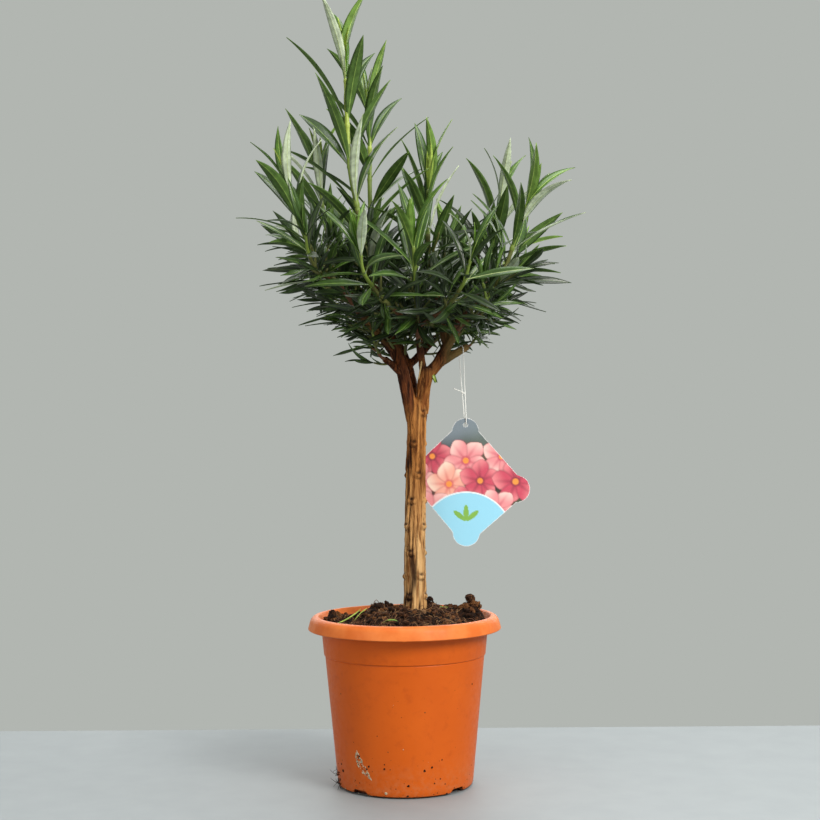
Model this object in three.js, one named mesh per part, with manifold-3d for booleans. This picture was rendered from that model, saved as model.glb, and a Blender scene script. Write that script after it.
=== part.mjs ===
// A potted oleander standard: a tapered plastic pot filled with potting soil, one bare trunk that
// forks low in the crown, short boughs, and masses of long narrow leaves set in whorls of three.
// A plain card tag hangs on a loop of string from a side bough.
// Units are millimetres, +Z is up, and the origin is the centre of the pot's flat underside.
import * as THREE from "three";
import { mergeVertices } from "three/addons/utils/BufferGeometryUtils.js";
import Module from "manifold-3d";

const wasm = await Module();
wasm.setup();

const TOUCH_GAP = 0.3; // left between pieces that touch
const DEGREE = Math.PI / 180;

// Pot
const POT = {
  height: 165.5,
  rimRadius: 95, // at the lip's lower edge, the widest place
  lipHeight: 13.5,
  lipTopRadius: 91.5,
  mouthRadius: 84,
  neckRadius: 81.8, // just under the lip
  stepHeight: 127.3, // a shallow step runs round the wall here
  stepRadius: 79.5, // just above the step
  stepDepth: 1.2,
  footRadius: 66.6,
  footRound: 5,
  wall: 1.8,
  floor: 2.4,
  segments: 48,
};
// Four drain notches are cut through the foot of the wall.
const NOTCH = { count: 4, firstAngle: -41 * DEGREE, width: 19, slope: 2.5, height: 5.5, depth: 9 };

// Soil
const SOIL = { edgeHeight: 157.5, topRings: 7, segments: 32, lump: 2.4, seatRadius: 15 };

// Trunk: its centre line as [x, y, z], and its radius at each of those points
const TRUNK_FOOT = 166.3;
const FORK_HEIGHT = 372;
const TRUNK = {
  path: [[10, 0, 160], [10.4, 0, 182], [11, 0, 239], [12, 0.5, 308], [13.6, 1, 352], [14.5, 1, 378]],
  radii: [13.4, 11.2, 10.4, 10.2, 11.2, 13.4],
  sides: 12,
  rings: 32,
  flatness: 0.82, // depth over width at the fork
  scars: { first: 190, spacing: 28.5, height: 1.3, reach: 4 }, // rings of knobs left by old leaf whorls
};

// Boughs: each is one tapering limb that starts inside the one that it grows from
const BOUGH_SIDES = 7;
const BOUGH_STEP = 12;
const BOUGHS = [
  {
    name: "bough_left",
    path: [[8, -2, 366], [1, -5, 399], [-6, -7, 424], [-12, -8, 440]],
    radii: [6.5, 6, 5.4, 4.6],
  },
  {
    name: "bough_right",
    path: [[21.5, 2, 366], [22.5, 2, 397], [34, 4, 412], [44, 8, 430], [48, 9, 442]],
    radii: [6.4, 6.2, 5.4, 4.9, 4.4],
  },
  {
    name: "bough_back",
    path: [[13, 3, 366], [9, 22, 398], [3, 33, 418], [-3, 42, 432]],
    radii: [4.6, 4.4, 4, 3.7],
  },
  {
    name: "bough_left_outer",
    path: [[-6, -7, 424], [-24, -16, 443], [-38, -22, 458]],
    radii: [4.2, 3.9, 3.6],
  },
  {
    name: "bough_left_rear",
    path: [[-3, -6, 414], [-18, 2, 436], [-32, 8, 456]],
    radii: [4.1, 3.8, 3.6],
  },
  {
    name: "bough_low_left",
    path: [[1, -5, 399], [-9, -13, 410], [-18, -19, 417]],
    radii: [3.6, 3.3, 3.1],
  },
  {
    name: "bough_centre",
    path: [[22, 2, 395], [18, -9, 419], [16, -20, 436]],
    radii: [3.7, 3.5, 3.3],
  },
  {
    name: "bough_inner",
    path: [[44, 8, 430], [40, 6, 446], [38, 5, 458]],
    radii: [3.9, 3.7, 3.5],
  },
  {
    name: "bough_side",
    path: [[34, 4, 412], [50, 11, 422], [64, 19, 430]],
    radii: [4, 3.8, 3.3],
  },
  {
    name: "bough_right_front",
    path: [[40, 6, 423], [48, -4, 435], [54, -13, 444]],
    radii: [3.7, 3.5, 3.3],
  },
  {
    name: "bough_back_right",
    path: [[5, 29, 411], [20, 40, 426], [33, 46, 440]],
    radii: [3.7, 3.5, 3.3],
  },
];

// Foliage: each mass is one stem with its shoots. The first shoot grows on from the tip of the
// mass's bough, and each other one leaves the first at the share `at` of its length. whorls is how
// many sets of three leaves a shoot has, gap the distance between them at the top and at the foot,
// leaf the full leaf length, and opening the angle between leaf and shoot, again from top to foot.
// spin turns the top whorl about the shoot, 0 being to the right, and seed scatters its leaves.
const MASSES = [
  {
    name: "foliage_tall",
    bough: "bough_left",
    shoots: [
      {
        path: [
          [-22, -9, 466], [-30, -10, 490], [-36, -12, 520], [-44, -14, 568], [-51, -15, 612], [-54, -18, 691],
        ],
        whorls: 9, gap: [43, 20], leaf: 100, opening: [12, 72], spin: 115, seed: 655,
      },
      {
        at: 0.12, path: [[-28, 20, 507], [-32, 28, 579], [-32, 32, 633], [-34, 35, 668]],
        whorls: 7, gap: [34, 20], leaf: 86, opening: [17, 65], spin: 105, seed: 960,
      },
    ],
  },
  {
    name: "foliage_centre",
    bough: "bough_inner",
    shoots: [
      {
        path: [[34, 1, 482], [28, -4, 513], [25, -8, 548], [26, -10, 583]],
        whorls: 8, gap: [22, 14], leaf: 81, opening: [10, 62], spin: 10, seed: 512,
      },
      {
        at: 0.12, path: [[46, 34, 492], [44, 62, 527]],
        whorls: 5, gap: [19, 15], leaf: 72, opening: [11, 75], spin: 10, seed: 52,
      },
    ],
  },
  {
    name: "foliage_right",
    bough: "bough_right",
    shoots: [
      {
        path: [[62, 16, 466], [78, 22, 497], [92, 26, 537], [99, 30, 570]],
        whorls: 7, gap: [25, 17], leaf: 81, opening: [13, 90], spin: 30, seed: 938,
      },
      {
        at: 0.07, path: [[75, 4, 473], [95, -12, 493], [110, -20, 532], [121, -22, 566]],
        whorls: 7, gap: [21, 15], leaf: 78, opening: [18, 64], spin: 20, seed: 583,
      },
      {
        at: 0.3, path: [[98, 58, 508], [116, 84, 534]],
        whorls: 4, gap: [20, 18], leaf: 75, opening: [19, 79], spin: 15, seed: 246,
      },
    ],
  },
  {
    name: "foliage_left",
    bough: "bough_left_outer",
    shoots: [
      {
        path: [[-55, -29, 481], [-84, -38, 517], [-100, -45, 552], [-105, -48, 571]],
        whorls: 7, gap: [22, 17], leaf: 80, opening: [10, 66], spin: 70, seed: 203,
      },
      {
        at: 0.25, path: [[-84, -66, 505], [-89, -92, 531]],
        whorls: 4, gap: [19, 17], leaf: 60, opening: [27, 87], spin: 110, seed: 327,
      },
    ],
  },
  {
    name: "foliage_left_rear",
    bough: "bough_left_rear",
    shoots: [
      {
        path: [[-52, 8, 491], [-68, 11, 525], [-77, 14, 559], [-83, 18, 600]],
        whorls: 7, gap: [27, 18], leaf: 81, opening: [12, 62], spin: 110, seed: 146,
      },
      {
        at: 0.1, path: [[-88, 48, 515], [-108, 78, 544]],
        whorls: 5, gap: [20, 17], leaf: 67, opening: [10, 77], spin: 105, seed: 437,
      },
    ],
  },
  {
    name: "foliage_front",
    bough: "bough_centre",
    shoots: [
      {
        path: [[14, -38, 457], [13, -52, 475], [12, -68, 503], [11, -74, 521]],
        whorls: 6, gap: [17, 13], leaf: 77, opening: [20, 86], spin: 0, seed: 745,
      },
      {
        at: 0.1, path: [[-14, -58, 468], [-34, -88, 492], [-38, -96, 512]],
        whorls: 5, gap: [17, 14], leaf: 71, opening: [27, 82], spin: 40, seed: 203,
      },
      {
        at: 0.14, path: [[44, -62, 466], [60, -88, 490], [64, -96, 506]],
        whorls: 5, gap: [17, 14], leaf: 64, opening: [23, 89], spin: 65, seed: 302,
      },
    ],
  },
  {
    name: "foliage_right_low",
    bough: "bough_right_front",
    shoots: [
      {
        path: [[70, -27, 460], [83, -36, 474], [89, -40, 495]],
        whorls: 5, gap: [15, 12], leaf: 58, opening: [22, 87], spin: 80, seed: 918,
      },
      {
        at: 0.3, path: [[80, -56, 462], [76, -74, 486]],
        whorls: 3, gap: [13, 12], leaf: 49, opening: [18, 78], spin: 30, seed: 143,
      },
    ],
  },
  {
    name: "foliage_low_left",
    bough: "bough_low_left",
    shoots: [
      {
        path: [[-26, -26, 427], [-29, -33, 445]],
        whorls: 3, gap: [12, 10], leaf: 48, opening: [27, 65], spin: 65, seed: 238,
      },
      {
        at: 0.3, path: [[-32, -14, 430], [-32, -8, 442]],
        whorls: 3, gap: [11, 10], leaf: 38, opening: [25, 93], spin: 115, seed: 185,
      },
    ],
  },
  {
    name: "foliage_side",
    bough: "bough_side",
    shoots: [
      {
        path: [[72, 24, 437], [76, 28, 448]],
        whorls: 3, gap: [11, 10], leaf: 40, opening: [12, 62], spin: 15, seed: 829,
      },
    ],
  },
  {
    name: "foliage_back_left",
    bough: "bough_back",
    shoots: [
      {
        path: [[-18, 62, 464], [-34, 82, 502], [-42, 94, 536]],
        whorls: 6, gap: [20, 16], leaf: 76, opening: [15, 85], spin: 10, seed: 847,
      },
      {
        at: 0.1, path: [[-36, 68, 452], [-60, 92, 482]],
        whorls: 4, gap: [15, 13], leaf: 48, opening: [13, 89], spin: 115, seed: 938,
      },
      {
        at: 0.2, path: [[2, 92, 474], [8, 122, 502]],
        whorls: 4, gap: [17, 15], leaf: 68, opening: [24, 79], spin: 75, seed: 964,
      },
    ],
  },
  {
    name: "foliage_back_right",
    bough: "bough_back_right",
    shoots: [
      {
        path: [[48, 60, 466], [62, 84, 506], [64, 98, 531]],
        whorls: 6, gap: [19, 15], leaf: 73, opening: [15, 80], spin: 115, seed: 904,
      },
      {
        at: 0.15, path: [[70, 62, 454], [83, 76, 476]],
        whorls: 4, gap: [14, 12], leaf: 48, opening: [23, 86], spin: 75, seed: 201,
      },
    ],
  },
];
const TWIG = { footRadius: 3.7, tipRadius: 2.7, sides: 3, step: 20, straightStart: 5 };
// The leaves of a whorl leave their shoot one a little below the other, by the stagger.
const WHORL = {
  leaves: 3,
  turn: 60,
  topInset: 3,
  stagger: 1.1,
  footMargin: 9,
  azimuthJitter: 24 * DEGREE,
};
const LEAF = {
  widthShare: 0.17, // full blade width over length
  bendAt: 0.42, // share of the length where the blade is widest and bends
  rootDepth: 1.8, // how far the blade's pointed root is sunk past the middle of its shoot
  thickness: 1.3, // where the blade bends, from where it thins out to the root and the tip
  openingPower: 0.9,
  openingJitter: 14 * DEGREE,
  bendOut: 12 * DEGREE,
  bendJitter: 14 * DEGREE,
  droop: 0.16,
  roll: 40 * DEGREE,
  lengthJitter: 0.14,
  lengthByWhorl: [0.92, 1, 1, 0.94, 0.88, 0.8], // from the top whorl to the lowest
};
// Two young leaves close up the tip of each shoot.
const YOUNG = { leaves: 2, lengthShare: 0.62, opening: 7 * DEGREE, inset: 1.5, stagger: 1.3 };
// A leaf that would touch something is turned by [azimuth, opening] in degrees and shortened to a
// share of its length, one step after the other, and is left out when no step helps.
const TRIES = [
  [0, 0, 1],
  [13, 4, 1],
  [-13, -5, 1],
  [26, 8, 0.9],
  [-26, -8, 0.9],
  [8, 16, 0.75],
  [-8, -14, 0.75],
];
const CLEARANCE = 2.6; // from sampled points of a blade to another blade's face, or to a limb
const SAMPLE_STEP = 4.2;
const OWN_SPACE_SLACK = 14; // how much nearer to another mass's stem a leaf's middle may be
const ROOT_SHARE = 0.22; // this much of a leaf may be near the other stems of its own mass

// Tag: a card hung by its top corner, whose four corners are round lobes
const TAG = {
  centre: [62, 17.5, 295],
  halfHigh: 50.5, // from the centre to the middle of the top and bottom lobes
  halfWide: 53.2,
  tilt: 8 * DEGREE, // the side lobes lie on a line that falls to the right
  lobeRadius: 13.5,
  edgeMargin: 10,
  thickness: 0.7,
  holeRadius: 2.2,
  holeBelowTop: 7,
};
const STRING = {
  radius: 0.45,
  sides: 6,
  bendSteps: 6,
  along: 0.8, // share of the side bough's length where the string hangs
  halfSpread: 1.7, // half the distance between its two strands
  knotShare: 0.6, // height of the knot between the tag's hole and the bough
  knotRadius: 2.1,
  tail: 10,
};

function vector(p) {
  return new THREE.Vector3(p[0], p[1], p[2]);
}

// A seeded random number in 0..1, by 32-bit integer steps.
function randomFrom(seed) {
  let state = seed >>> 0;
  return () => {
    state = (state + 0x6d2b79f5) >>> 0;
    let t = state;
    t = Math.imul(t ^ (t >>> 15), t | 1);
    t ^= t + Math.imul(t ^ (t >>> 7), t | 61);
    return ((t ^ (t >>> 14)) >>> 0) / 4294967296;
  };
}

// A value that runs through the given stops, evenly spaced in share 0..1.
function throughStops(stops, share) {
  const place = THREE.MathUtils.clamp(share, 0, 1) * (stops.length - 1);
  const i = Math.min(Math.floor(place), stops.length - 2);
  return stops[i] + (stops[i + 1] - stops[i]) * (place - i);
}

// The point on a smooth curve through the given points, at a parameter from 0 to the last index.
function pointThrough(points, parameter) {
  const i = Math.min(Math.floor(parameter), points.length - 2);
  const t = parameter - i;
  const [b, c] = [points[i], points[i + 1]];
  const a = points[i - 1] ?? b.clone().multiplyScalar(2).sub(c);
  const d = points[i + 2] ?? c.clone().multiplyScalar(2).sub(b);
  const weights = [
    (-t + 2 * t * t - t * t * t) / 2,
    (2 - 5 * t * t + 3 * t * t * t) / 2,
    (t + 4 * t * t - 3 * t * t * t) / 2,
    (-t * t + t * t * t) / 2,
  ];
  const point = new THREE.Vector3();
  [a, b, c, d].forEach((p, k) => point.addScaledVector(p, weights[k]));
  return point;
}

// The distance along a line to each of its points.
function distancesAlong(line) {
  const along = [0];
  for (let i = 1; i < line.length; i++) {
    along.push(along[i - 1] + line[i].distanceTo(line[i - 1]));
  }
  return along;
}

// The point and direction at a distance along a line.
function placeAlong(line, distance) {
  const along = distancesAlong(line);
  let i = 1;
  while (i < line.length - 1 && along[i] < distance) i++;
  const share = THREE.MathUtils.clamp((distance - along[i - 1]) / (along[i] - along[i - 1]), 0, 1);
  return {
    point: line[i - 1].clone().lerp(line[i], share),
    direction: line[i].clone().sub(line[i - 1]).normalize(),
  };
}

// An evenly spaced line along the smooth curve through the given points.
function evenLine(points, step) {
  const finePerSpan = 16;
  const fine = [];
  for (let i = 0; i <= (points.length - 1) * finePerSpan; i++) {
    fine.push(pointThrough(points, i / finePerSpan));
  }
  const length = distancesAlong(fine).at(-1);
  const count = Math.max(2, Math.round(length / step));
  return Array.from({ length: count + 1 }, (_, i) => placeAlong(fine, (length * i) / count).point);
}

// A closed surface from rings of equal length, with flat ends, or joined end to end as a loop.
function loft(rings, loop = false) {
  const sides = rings[0].length;
  const index = [];
  const spans = loop ? rings.length : rings.length - 1;
  for (let i = 0; i < spans; i++) {
    const low = i * sides;
    const high = ((i + 1) % rings.length) * sides;
    for (let j = 0; j < sides; j++) {
      const k = (j + 1) % sides;
      index.push(low + j, low + k, high + k, low + j, high + k, high + j);
    }
  }
  const top = (rings.length - 1) * sides;
  for (let j = 1; j < sides - 1 && !loop; j++) {
    index.push(0, j + 1, j, top, top + j, top + j + 1);
  }
  const geometry = new THREE.BufferGeometry().setFromPoints(rings.flat());
  geometry.setIndex(index);
  return geometry;
}

// Rings of points round a line. radiusAt takes the share of its length and the angle round it.
function ringsAlong(line, sides, radiusAt, loop = false) {
  const along = distancesAlong(line);
  const sideways = new THREE.Vector3(1, 0, 0);
  const count = line.length;
  return line.map((centre, i) => {
    const previous = loop ? (i + count - 1) % count : Math.max(i - 1, 0);
    const next = loop ? (i + 1) % count : Math.min(i + 1, count - 1);
    const forward = line[next].clone().sub(line[previous]).normalize();
    sideways.addScaledVector(forward, -sideways.dot(forward)).normalize();
    const other = forward.clone().cross(sideways);
    return Array.from({ length: sides }, (_, j) => {
      const angle = (j / sides) * 2 * Math.PI;
      const radius = radiusAt(along[i] / along.at(-1), angle);
      return centre
        .clone()
        .addScaledVector(sideways, radius * Math.cos(angle))
        .addScaledVector(other, radius * Math.sin(angle));
    });
  });
}

function solidOf(geometry) {
  const bare = geometry.clone();
  bare.deleteAttribute("normal");
  bare.deleteAttribute("uv");
  const merged = mergeVertices(bare, 1e-4);
  return new wasm.Manifold(
    new wasm.Mesh({
      numProp: 3,
      vertProperties: new Float32Array(merged.attributes.position.array),
      triVerts: new Uint32Array(merged.index.array),
    }),
  );
}

function geometryOf(solid) {
  const mesh = solid.getMesh();
  const geometry = new THREE.BufferGeometry();
  geometry.setAttribute("position", new THREE.BufferAttribute(mesh.vertProperties, 3));
  geometry.setIndex(new THREE.BufferAttribute(mesh.triVerts, 1));
  return geometry;
}

// The largest body of a solid, without scraps and sealed hollows that a cut or a join can leave.
function largestBody(solid) {
  return solid.decompose().reduce((best, body) => (body.volume() > best.volume() ? body : best));
}

// A block wide enough to cut the whole plant, from one height to another.
function slab(low, high) {
  const width = 600;
  const box = new THREE.BoxGeometry(width, width, high - low);
  return solidOf(box.translate(0, 0, (low + high) / 2));
}

const part = new THREE.Group();

function addNode(name, solid, colour, roughness) {
  const material = new THREE.MeshStandardMaterial({ color: colour, roughness, metalness: 0 });
  const mesh = new THREE.Mesh(geometryOf(solid), material);
  mesh.name = name;
  part.add(mesh);
}

const lipFoot = POT.height - POT.lipHeight;

// The pot wall's inner radius at a height: the outer taper less the wall, then the flared lip.
function innerRadius(z) {
  const stops = [
    [POT.footRadius - POT.wall, POT.floor],
    [POT.stepRadius - POT.stepDepth - POT.wall, POT.stepHeight],
    [POT.neckRadius - POT.wall, lipFoot],
    [POT.mouthRadius, POT.height - 2],
  ];
  const i = stops.findIndex((stop, k) => k > 0 && z <= stop[1]);
  const [low, high] = [stops[i - 1], stops[i]];
  return low[0] + ((high[0] - low[0]) * (z - low[1])) / (high[1] - low[1]);
}

function makePot() {
  const belowStep = POT.stepRadius - POT.stepDepth;
  const profile = [
    [0, 0],
    [POT.footRadius - 3, 0],
    [POT.footRadius - 0.7, POT.footRound * 0.4],
    [POT.footRadius, POT.footRound],
    [belowStep, POT.stepHeight],
    [POT.stepRadius, POT.stepHeight + 1],
    [POT.neckRadius, lipFoot],
    [POT.neckRadius + 2, lipFoot + 2],
    [POT.rimRadius - 3, lipFoot + 2],
    [POT.rimRadius - 1.8, lipFoot],
    [POT.rimRadius, lipFoot + 0.8],
    [POT.lipTopRadius + 0.8, POT.height - 3.4],
    [POT.lipTopRadius - 1.4, POT.height - 0.8],
    [POT.lipTopRadius - 3.6, POT.height],
    [POT.mouthRadius + 1.2, POT.height - 0.4],
    [POT.mouthRadius, POT.height - 2],
    [innerRadius(lipFoot), lipFoot],
    [innerRadius(POT.stepHeight), POT.stepHeight],
    [innerRadius(POT.floor), POT.floor],
    [0, POT.floor],
  ].map(([radius, z]) => new THREE.Vector2(radius, z));
  const shell = new THREE.LatheGeometry(profile, POT.segments).rotateX(Math.PI / 2);
  let pot = solidOf(shell);
  for (let i = 0; i < NOTCH.count; i++) {
    pot = pot.subtract(makeNotch(NOTCH.firstAngle + (i * 2 * Math.PI) / NOTCH.count));
  }
  return pot;
}

// The wedge that cuts one drain notch, at an angle to the right of the front.
function makeNotch(angle) {
  const [low, high] = [NOTCH.width / 2 + NOTCH.slope, NOTCH.width / 2 - NOTCH.slope];
  const outline = new THREE.Shape([
    new THREE.Vector2(-low, -1),
    new THREE.Vector2(low, -1),
    new THREE.Vector2(high, NOTCH.height),
    new THREE.Vector2(-high, NOTCH.height),
  ]);
  const outside = 2;
  const wedge = new THREE.ExtrudeGeometry(outline, {
    depth: NOTCH.depth + outside,
    bevelEnabled: false,
  });
  wedge.rotateX(Math.PI / 2).translate(0, POT.footRadius + outside, 0);
  return solidOf(wedge.rotateZ(Math.PI + angle));
}

// How far the soil's surface stands above or below its smooth mound.
function soilLump(x, y) {
  const coarse = Math.sin(x * 0.13 + 1.3) * Math.cos(y * 0.11 + 0.4);
  const fine = Math.sin(x * 0.31 + y * 0.19) * Math.cos(y * 0.37 - x * 0.12 + 2);
  return SOIL.lump * (0.6 * coarse + 0.4 * fine);
}

function makeSoil() {
  const clearance = 0.2;
  const bottom = POT.floor + TOUCH_GAP;
  const seat = vector(TRUNK.path[0]).setZ(TRUNK_FOOT - TOUCH_GAP);
  const ring = (shift, radius, height) =>
    Array.from({ length: SOIL.segments }, (_, j) => {
      const angle = (j / SOIL.segments) * 2 * Math.PI;
      const [x, y] = [shift.x + radius * Math.cos(angle), shift.y + radius * Math.sin(angle)];
      return new THREE.Vector3(x, y, height(x, y));
    });
  const centre = new THREE.Vector3();
  const rings = [];
  for (const z of [bottom, POT.stepHeight, lipFoot, SOIL.edgeHeight]) {
    rings.push(ring(centre, innerRadius(z) - TOUCH_GAP - clearance, () => z));
  }
  const edgeRadius = innerRadius(SOIL.edgeHeight) - TOUCH_GAP - clearance;
  for (let i = 1; i <= SOIL.topRings; i++) {
    const share = i / SOIL.topRings;
    const shift = centre.clone().lerp(seat, share);
    const radius = edgeRadius + (SOIL.seatRadius - edgeRadius) * share;
    const mound = SOIL.edgeHeight + (seat.z - SOIL.edgeHeight) * Math.sin((share * Math.PI) / 2);
    const roughness = i < SOIL.topRings ? Math.min(1, 3 * share) : 0;
    rings.push(ring(shift, radius, (x, y) => mound + roughness * soilLump(x, y)));
  }
  return solidOf(loft(rings));
}

// The height of the trunk's scar rings at a height and an angle round it: one knob a ring.
function scarRelief(z, angle) {
  const { first, spacing, height, reach } = TRUNK.scars;
  const number = Math.round((z - first) / spacing);
  if (number < 0) return 0;
  const offset = (z - first - number * spacing) / reach;
  const side = number * 2.4;
  return height * Math.exp(-offset * offset) * (0.35 + 0.65 * Math.max(0, Math.cos(angle - side)));
}

// The share of the way through a path's points, counted in points, at a height.
function shareAtHeight(path, z) {
  const i = Math.max(1, path.findIndex((p) => p[2] >= z));
  const [low, high] = [path[i - 1][2], path[i][2]];
  return (i - 1 + THREE.MathUtils.clamp((z - low) / (high - low), 0, 1)) / (path.length - 1);
}

function makeTrunk() {
  const points = TRUNK.path.map(vector);
  const [foot, top] = [points[0].z, points.at(-1).z];
  const line = evenLine(points, (top - foot) / TRUNK.rings);
  const rings = ringsAlong(line, TRUNK.sides, (share, angle) => {
    const z = foot + share * (top - foot);
    return throughStops(TRUNK.radii, shareAtHeight(TRUNK.path, z)) + scarRelief(z, angle);
  });
  const flatFrom = TRUNK.path[3][2];
  rings.forEach((ring, i) => {
    const share = THREE.MathUtils.clamp((line[i].z - flatFrom) / (FORK_HEIGHT - flatFrom), 0, 1);
    const depth = 1 - (1 - TRUNK.flatness) * share;
    ring.forEach((p) => p.setY(line[i].y + (p.y - line[i].y) * depth));
  });
  const trunk = solidOf(loft(rings));
  return trunk.subtract(slab(0, TRUNK_FOOT)).subtract(slab(FORK_HEIGHT, 2 * FORK_HEIGHT));
}

const boughLines = {};
for (const bough of BOUGHS) boughLines[bough.name] = evenLine(bough.path.map(vector), BOUGH_STEP);

function boughTube(bough, extra) {
  const line = boughLines[bough.name];
  const rings = ringsAlong(line, BOUGH_SIDES, (share) => throughStops(bough.radii, share) + extra);
  return solidOf(loft(rings));
}

// Each bough stands clear of the trunk's flat top and of the boughs made before it.
function makeBoughs() {
  let taken = slab(0, FORK_HEIGHT + TOUCH_GAP);
  for (const bough of BOUGHS) {
    addNode(bough.name, largestBody(boughTube(bough, 0).subtract(taken)), 0x5a3524, 0.85);
    taken = taken.add(boughTube(bough, TOUCH_GAP / Math.cos(Math.PI / BOUGH_SIDES)));
  }
}

// The centre lines of a mass's shoots.
function shootLines(mass) {
  const bough = boughLines[mass.bough];
  const direction = bough.at(-1).clone().sub(bough.at(-2)).normalize();
  const start = bough.at(-1).clone().addScaledVector(direction, TOUCH_GAP);
  const straight = start.clone().addScaledVector(direction, TWIG.straightStart);
  const [first, ...others] = mass.shoots;
  const main = [start, ...evenLine([straight, ...first.path.map(vector)], TWIG.step)];
  const length = distancesAlong(main).at(-1);
  const side = others.map((shoot) => {
    const fork = placeAlong(main, shoot.at * length).point;
    return evenLine([fork, ...shoot.path.map(vector)], TWIG.step);
  });
  return [main, ...side];
}

function twigRadius(share) {
  return TWIG.footRadius + (TWIG.tipRadius - TWIG.footRadius) * share;
}

// Everything that a leaf must stay clear of, as straight stretches with a radius.
function makeLimbList(linesByMass) {
  const limbs = [];
  const addLine = (line, radiusAt, owner, stem) => {
    for (let i = 1; i < line.length; i++) {
      const radius = radiusAt((i - 0.5) / (line.length - 1));
      limbs.push({ stretch: new THREE.Line3(line[i - 1], line[i]), radius, owner, stem });
    }
  };
  addLine(TRUNK.path.map(vector), (share) => throughStops(TRUNK.radii, share), "trunk");
  for (const bough of BOUGHS) {
    addLine(boughLines[bough.name], (share) => throughStops(bough.radii, share), bough.name);
  }
  addLine(stringEnds(), () => STRING.halfSpread + STRING.radius, "string");
  MASSES.forEach((mass, i) => {
    linesByMass[i].forEach((line, stem) => addLine(line, twigRadius, mass.name, stem));
  });
  return limbs;
}

// A leaf's root, middle and tip, and its width and upper-side directions.
function leafFrame(place, azimuth, opening, bend, roll, length) {
  const along = place.direction;
  const right = new THREE.Vector3(1, 0, 0).addScaledVector(along, -along.x).normalize();
  const back = along.clone().cross(right);
  const outward = right.multiplyScalar(Math.cos(azimuth)).addScaledVector(back, Math.sin(azimuth));
  const rising = along.clone().multiplyScalar(Math.cos(opening));
  rising.addScaledVector(outward, Math.sin(opening));
  rising.z -= LEAF.droop * Math.sin(opening);
  rising.normalize();
  const level = along.clone().cross(outward);
  level.addScaledVector(rising, -level.dot(rising)).normalize();
  const steep = rising.clone().cross(level);
  const width = level.clone().multiplyScalar(Math.cos(roll)).addScaledVector(steep, Math.sin(roll));
  const upper = rising.clone().cross(width);
  const falling = rising.clone().multiplyScalar(Math.cos(bend)).addScaledVector(steep, -Math.sin(bend));
  const middle = place.point.clone().addScaledVector(rising, length * LEAF.bendAt);
  const tip = middle.clone().addScaledVector(falling, length * (1 - LEAF.bendAt));
  return { root: place.point, middle, tip, width, upper, length };
}

// The blade's corners: its pointed root, its two edges and its keel where it bends, and its tip.
function bladeCorners(leaf) {
  const halfWidth = (leaf.length * LEAF.widthShare) / 2;
  const inward = leaf.root.clone().sub(leaf.middle).normalize();
  const corner = (sideways, up) =>
    leaf.middle.clone().addScaledVector(leaf.width, sideways).addScaledVector(leaf.upper, up);
  return {
    root: leaf.root.clone().addScaledVector(inward, LEAF.rootDepth),
    right: corner(halfWidth, LEAF.thickness / 2),
    left: corner(-halfWidth, LEAF.thickness / 2),
    keel: corner(0, -LEAF.thickness / 2),
    tip: leaf.tip,
  };
}

function bladeSolid(leaf) {
  const { root, right, left, keel, tip } = bladeCorners(leaf);
  const geometry = new THREE.BufferGeometry().setFromPoints([root, right, left, keel, tip]);
  const lowerHalf = [0, 2, 1, 0, 3, 2, 0, 1, 3];
  const upperHalf = [1, 2, 4, 2, 3, 4, 3, 1, 4];
  geometry.setIndex([...lowerHalf, ...upperHalf]);
  return solidOf(geometry);
}

// The two triangles of a blade's upper face, and points along its edges and its middle.
function bladeProbe(leaf) {
  const { root, right, left, tip } = bladeCorners(leaf);
  const faces = [new THREE.Triangle(root, right, left), new THREE.Triangle(right, tip, left)];
  const lower = [[root, right], [root, left], [leaf.root, leaf.middle]];
  const upper = [[right, tip], [left, tip], [leaf.middle, tip]];
  const count = Math.ceil(leaf.length / SAMPLE_STEP);
  const points = [];
  for (let i = 0; i <= count; i++) {
    const share = i / count;
    const low = share < LEAF.bendAt;
    const local = low ? share / LEAF.bendAt : (share - LEAF.bendAt) / (1 - LEAF.bendAt);
    for (const [from, to] of low ? lower : upper) {
      points.push({ share, at: from.clone().lerp(to, local) });
    }
  }
  const centre = leaf.root.clone().lerp(leaf.tip, 0.5);
  return { faces, points, centre, reach: leaf.length / 2 + 4 };
}

const nearest = new THREE.Vector3();

function touches(points, faces) {
  return points.some(({ at }) =>
    faces.some((face) => face.closestPointToPoint(at, nearest).distanceTo(at) < CLEARANCE),
  );
}

function nearOtherBlade(probe, owner, placed) {
  return placed.some((other) => {
    if (other.mass === owner.mass && other.stem === owner.stem) return false;
    const apart = other.probe.centre.distanceTo(probe.centre);
    if (apart > other.probe.reach + probe.reach) return false;
    return touches(probe.points, other.probe.faces) || touches(other.probe.points, probe.faces);
  });
}

function distanceTo(stretch, point) {
  return stretch.closestPointToPoint(point, true, nearest).distanceTo(point);
}

function nearLimb(probe, owner, limbs) {
  return limbs.some((limb) => {
    const ownMass = limb.owner === owner.mass;
    if (ownMass && limb.stem === owner.stem) return false;
    const room = limb.radius + CLEARANCE;
    if (distanceTo(limb.stretch, probe.centre) > probe.reach + room) return false;
    const points = ownMass ? probe.points.filter(({ share }) => share > ROOT_SHARE) : probe.points;
    return points.some(({ at }) => distanceTo(limb.stretch, at) < room);
  });
}

// Whether a leaf's middle is about as near to its own mass's stems as to any other's.
function keepsToOwnSpace(leaf, owner, limbs) {
  let [own, other] = [Infinity, Infinity];
  for (const limb of limbs) {
    if (limb.stem === undefined) continue;
    const distance = distanceTo(limb.stretch, leaf.middle);
    if (limb.owner === owner.mass) own = Math.min(own, distance);
    else other = Math.min(other, distance);
  }
  return own < other + OWN_SPACE_SLACK;
}

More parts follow.
